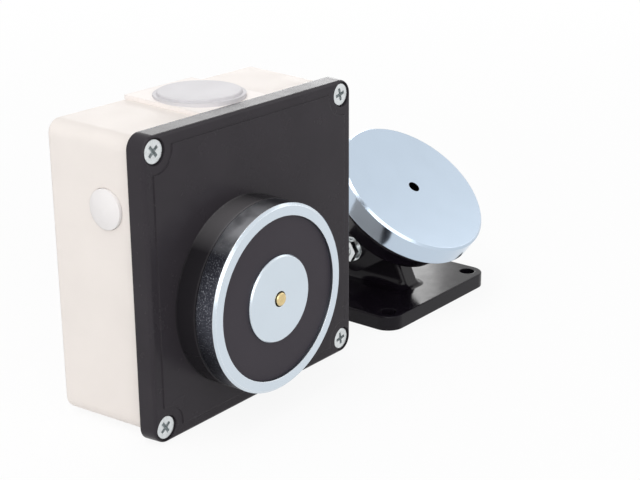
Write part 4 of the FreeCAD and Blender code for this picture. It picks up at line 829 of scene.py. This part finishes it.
def make_floor(settings):
    """Pale floor that the camera sees as nearly white, with the shadow left on it."""
    mesh = bpy.data.meshes.new("floor")
    signs = ((-1, -1), (1, -1), (1, 1), (-1, 1))
    corners = [(x * FLOOR_HALF, y * FLOOR_HALF, FLOOR_LEVEL) for x, y in signs]
    mesh.from_pydata(corners, [], [(0, 1, 2, 3)])
    floor = bpy.data.objects.new("floor", mesh)
    bpy.context.scene.collection.objects.link(floor)
    finish = Finish("floor_white")
    tree = finish.tree
    finish.wear(Base_Color=(*settings.floor_colour, 1.0), Roughness=0.9, Specular_IOR_Level=0.0)
    glow = finish.add("ShaderNodeEmission")
    mixer = finish.add("ShaderNodeMixShader")
    output = tree.nodes["Material Output"]
    radius, _ = distance_from_axis(finish, finish.place())
    white = finish.spread(radius, settings.floor_glow, 1.0, *FLOOR_FADE)
    finish.link(finish.math("MULTIPLY", seen_by_eye(tree), white), mixer.inputs["Fac"])
    finish.link(finish.shader.outputs["BSDF"], mixer.inputs[1])
    finish.link(glow.outputs["Emission"], mixer.inputs[2])
    finish.link(mixer.outputs["Shader"], output.inputs["Surface"])
    mesh.materials.append(finish.material)


def add_lamp(name, place, target, size, watts):
    """Soft rectangular lamp that looks at a point."""
    data = bpy.data.lights.new(name, "AREA")
    data.shape = "RECTANGLE"
    data.size, data.size_y = size
    data.energy = watts
    lamp = bpy.data.objects.new(name, data)
    lamp.location = place
    lamp.rotation_mode = "QUATERNION"
    lamp.rotation_quaternion = (Vector(target) - Vector(place)).to_track_quat("-Z", "Y")
    bpy.context.scene.collection.objects.link(lamp)


def add_camera(settings):
    """Camera at the photograph's place."""
    data = bpy.data.cameras.new("camera")
    data.sensor_fit = "HORIZONTAL"
    data.sensor_width = SENSOR_WIDTH
    data.lens = settings.lens
    data.clip_start = NEAREST_SEEN
    camera = bpy.data.objects.new("camera", data)
    camera.location = settings.camera_place
    level = math.cos(settings.camera_elevation)
    forward = Vector((
        level * math.sin(settings.camera_azimuth), level * math.cos(settings.camera_azimuth),
        -math.sin(settings.camera_elevation)))
    camera.rotation_mode = "QUATERNION"
    lean = Quaternion((0.0, 0.0, 1.0), settings.camera_roll)
    camera.rotation_quaternion = forward.to_track_quat("-Z", "Y") @ lean
    bpy.context.scene.collection.objects.link(camera)
    bpy.context.scene.camera = camera


class DOORHOLDER_OT_stage(PieceOperator, bpy.types.Operator):
    """Set the floor, the light and the camera"""

    bl_idname = "doorholder.stage"
    bl_label = "Stage"

    def execute(self, context):
        settings = stage_settings()
        context.scene.view_settings.view_transform = "Standard"
        set_world(settings.world_level)
        make_floor(settings)
        for name, place, size, setting in LAMPS:
            add_lamp(name, place, LIT_POINT, size, getattr(settings, setting))
        add_camera(settings)
        return {"FINISHED"}


class DOORHOLDER_PT_panel(bpy.types.Panel):
    """Sidebar panel with the finishes and the stage"""

    bl_idname = "DOORHOLDER_PT_panel"
    bl_label = "Door holder"
    bl_space_type = "VIEW_3D"
    bl_region_type = "UI"
    bl_category = "Door holder"

    def draw(self, context):
        layout = self.layout
        for operator in OPERATORS:
            layout.operator(operator.bl_idname)
        for settings in (mouldings(), metals(), stage_settings()):
            box = layout.box()
            for name in settings.bl_rna.properties.keys():
                if name not in ("rna_type", "name"):
                    box.prop(settings, name)


GROUPS = (DOORHOLDER_PG_mouldings, DOORHOLDER_PG_metals, DOORHOLDER_PG_stage)
OPERATORS = (
    DOORHOLDER_OT_stage, DOORHOLDER_OT_back_box, DOORHOLDER_OT_cable_entry, DOORHOLDER_OT_button,
    DOORHOLDER_OT_cover, DOORHOLDER_OT_cover_screws, DOORHOLDER_OT_magnet, DOORHOLDER_OT_release_pin,
    DOORHOLDER_OT_coil, DOORHOLDER_OT_springs, DOORHOLDER_OT_inner_fasteners, DOORHOLDER_OT_board,
    DOORHOLDER_OT_leads, DOORHOLDER_OT_keeper, DOORHOLDER_OT_armature, DOORHOLDER_OT_pivot)
CLASSES = (*GROUPS, *OPERATORS, DOORHOLDER_PT_panel)


def register():
    """Register the classes and their settings."""
    for entry in CLASSES:
        bpy.utils.register_class(entry)
    bpy.types.Scene.door_holder_mouldings = PointerProperty(type=DOORHOLDER_PG_mouldings)
    bpy.types.Scene.door_holder_metals = PointerProperty(type=DOORHOLDER_PG_metals)
    bpy.types.Scene.door_holder_stage = PointerProperty(type=DOORHOLDER_PG_stage)


def unregister():
    """Take the settings and the classes away again."""
    del bpy.types.Scene.door_holder_stage
    del bpy.types.Scene.door_holder_metals
    del bpy.types.Scene.door_holder_mouldings
    for entry in reversed(CLASSES):
        bpy.utils.unregister_class(entry)


def main():
    """Dress the part and set the stage."""
    register()
    for operator in OPERATORS:
        package, name = operator.bl_idname.split(".")
        getattr(getattr(bpy.ops, package), name)()
    bpy.context.view_layer.update()


if __name__ == "__main__":
    main()
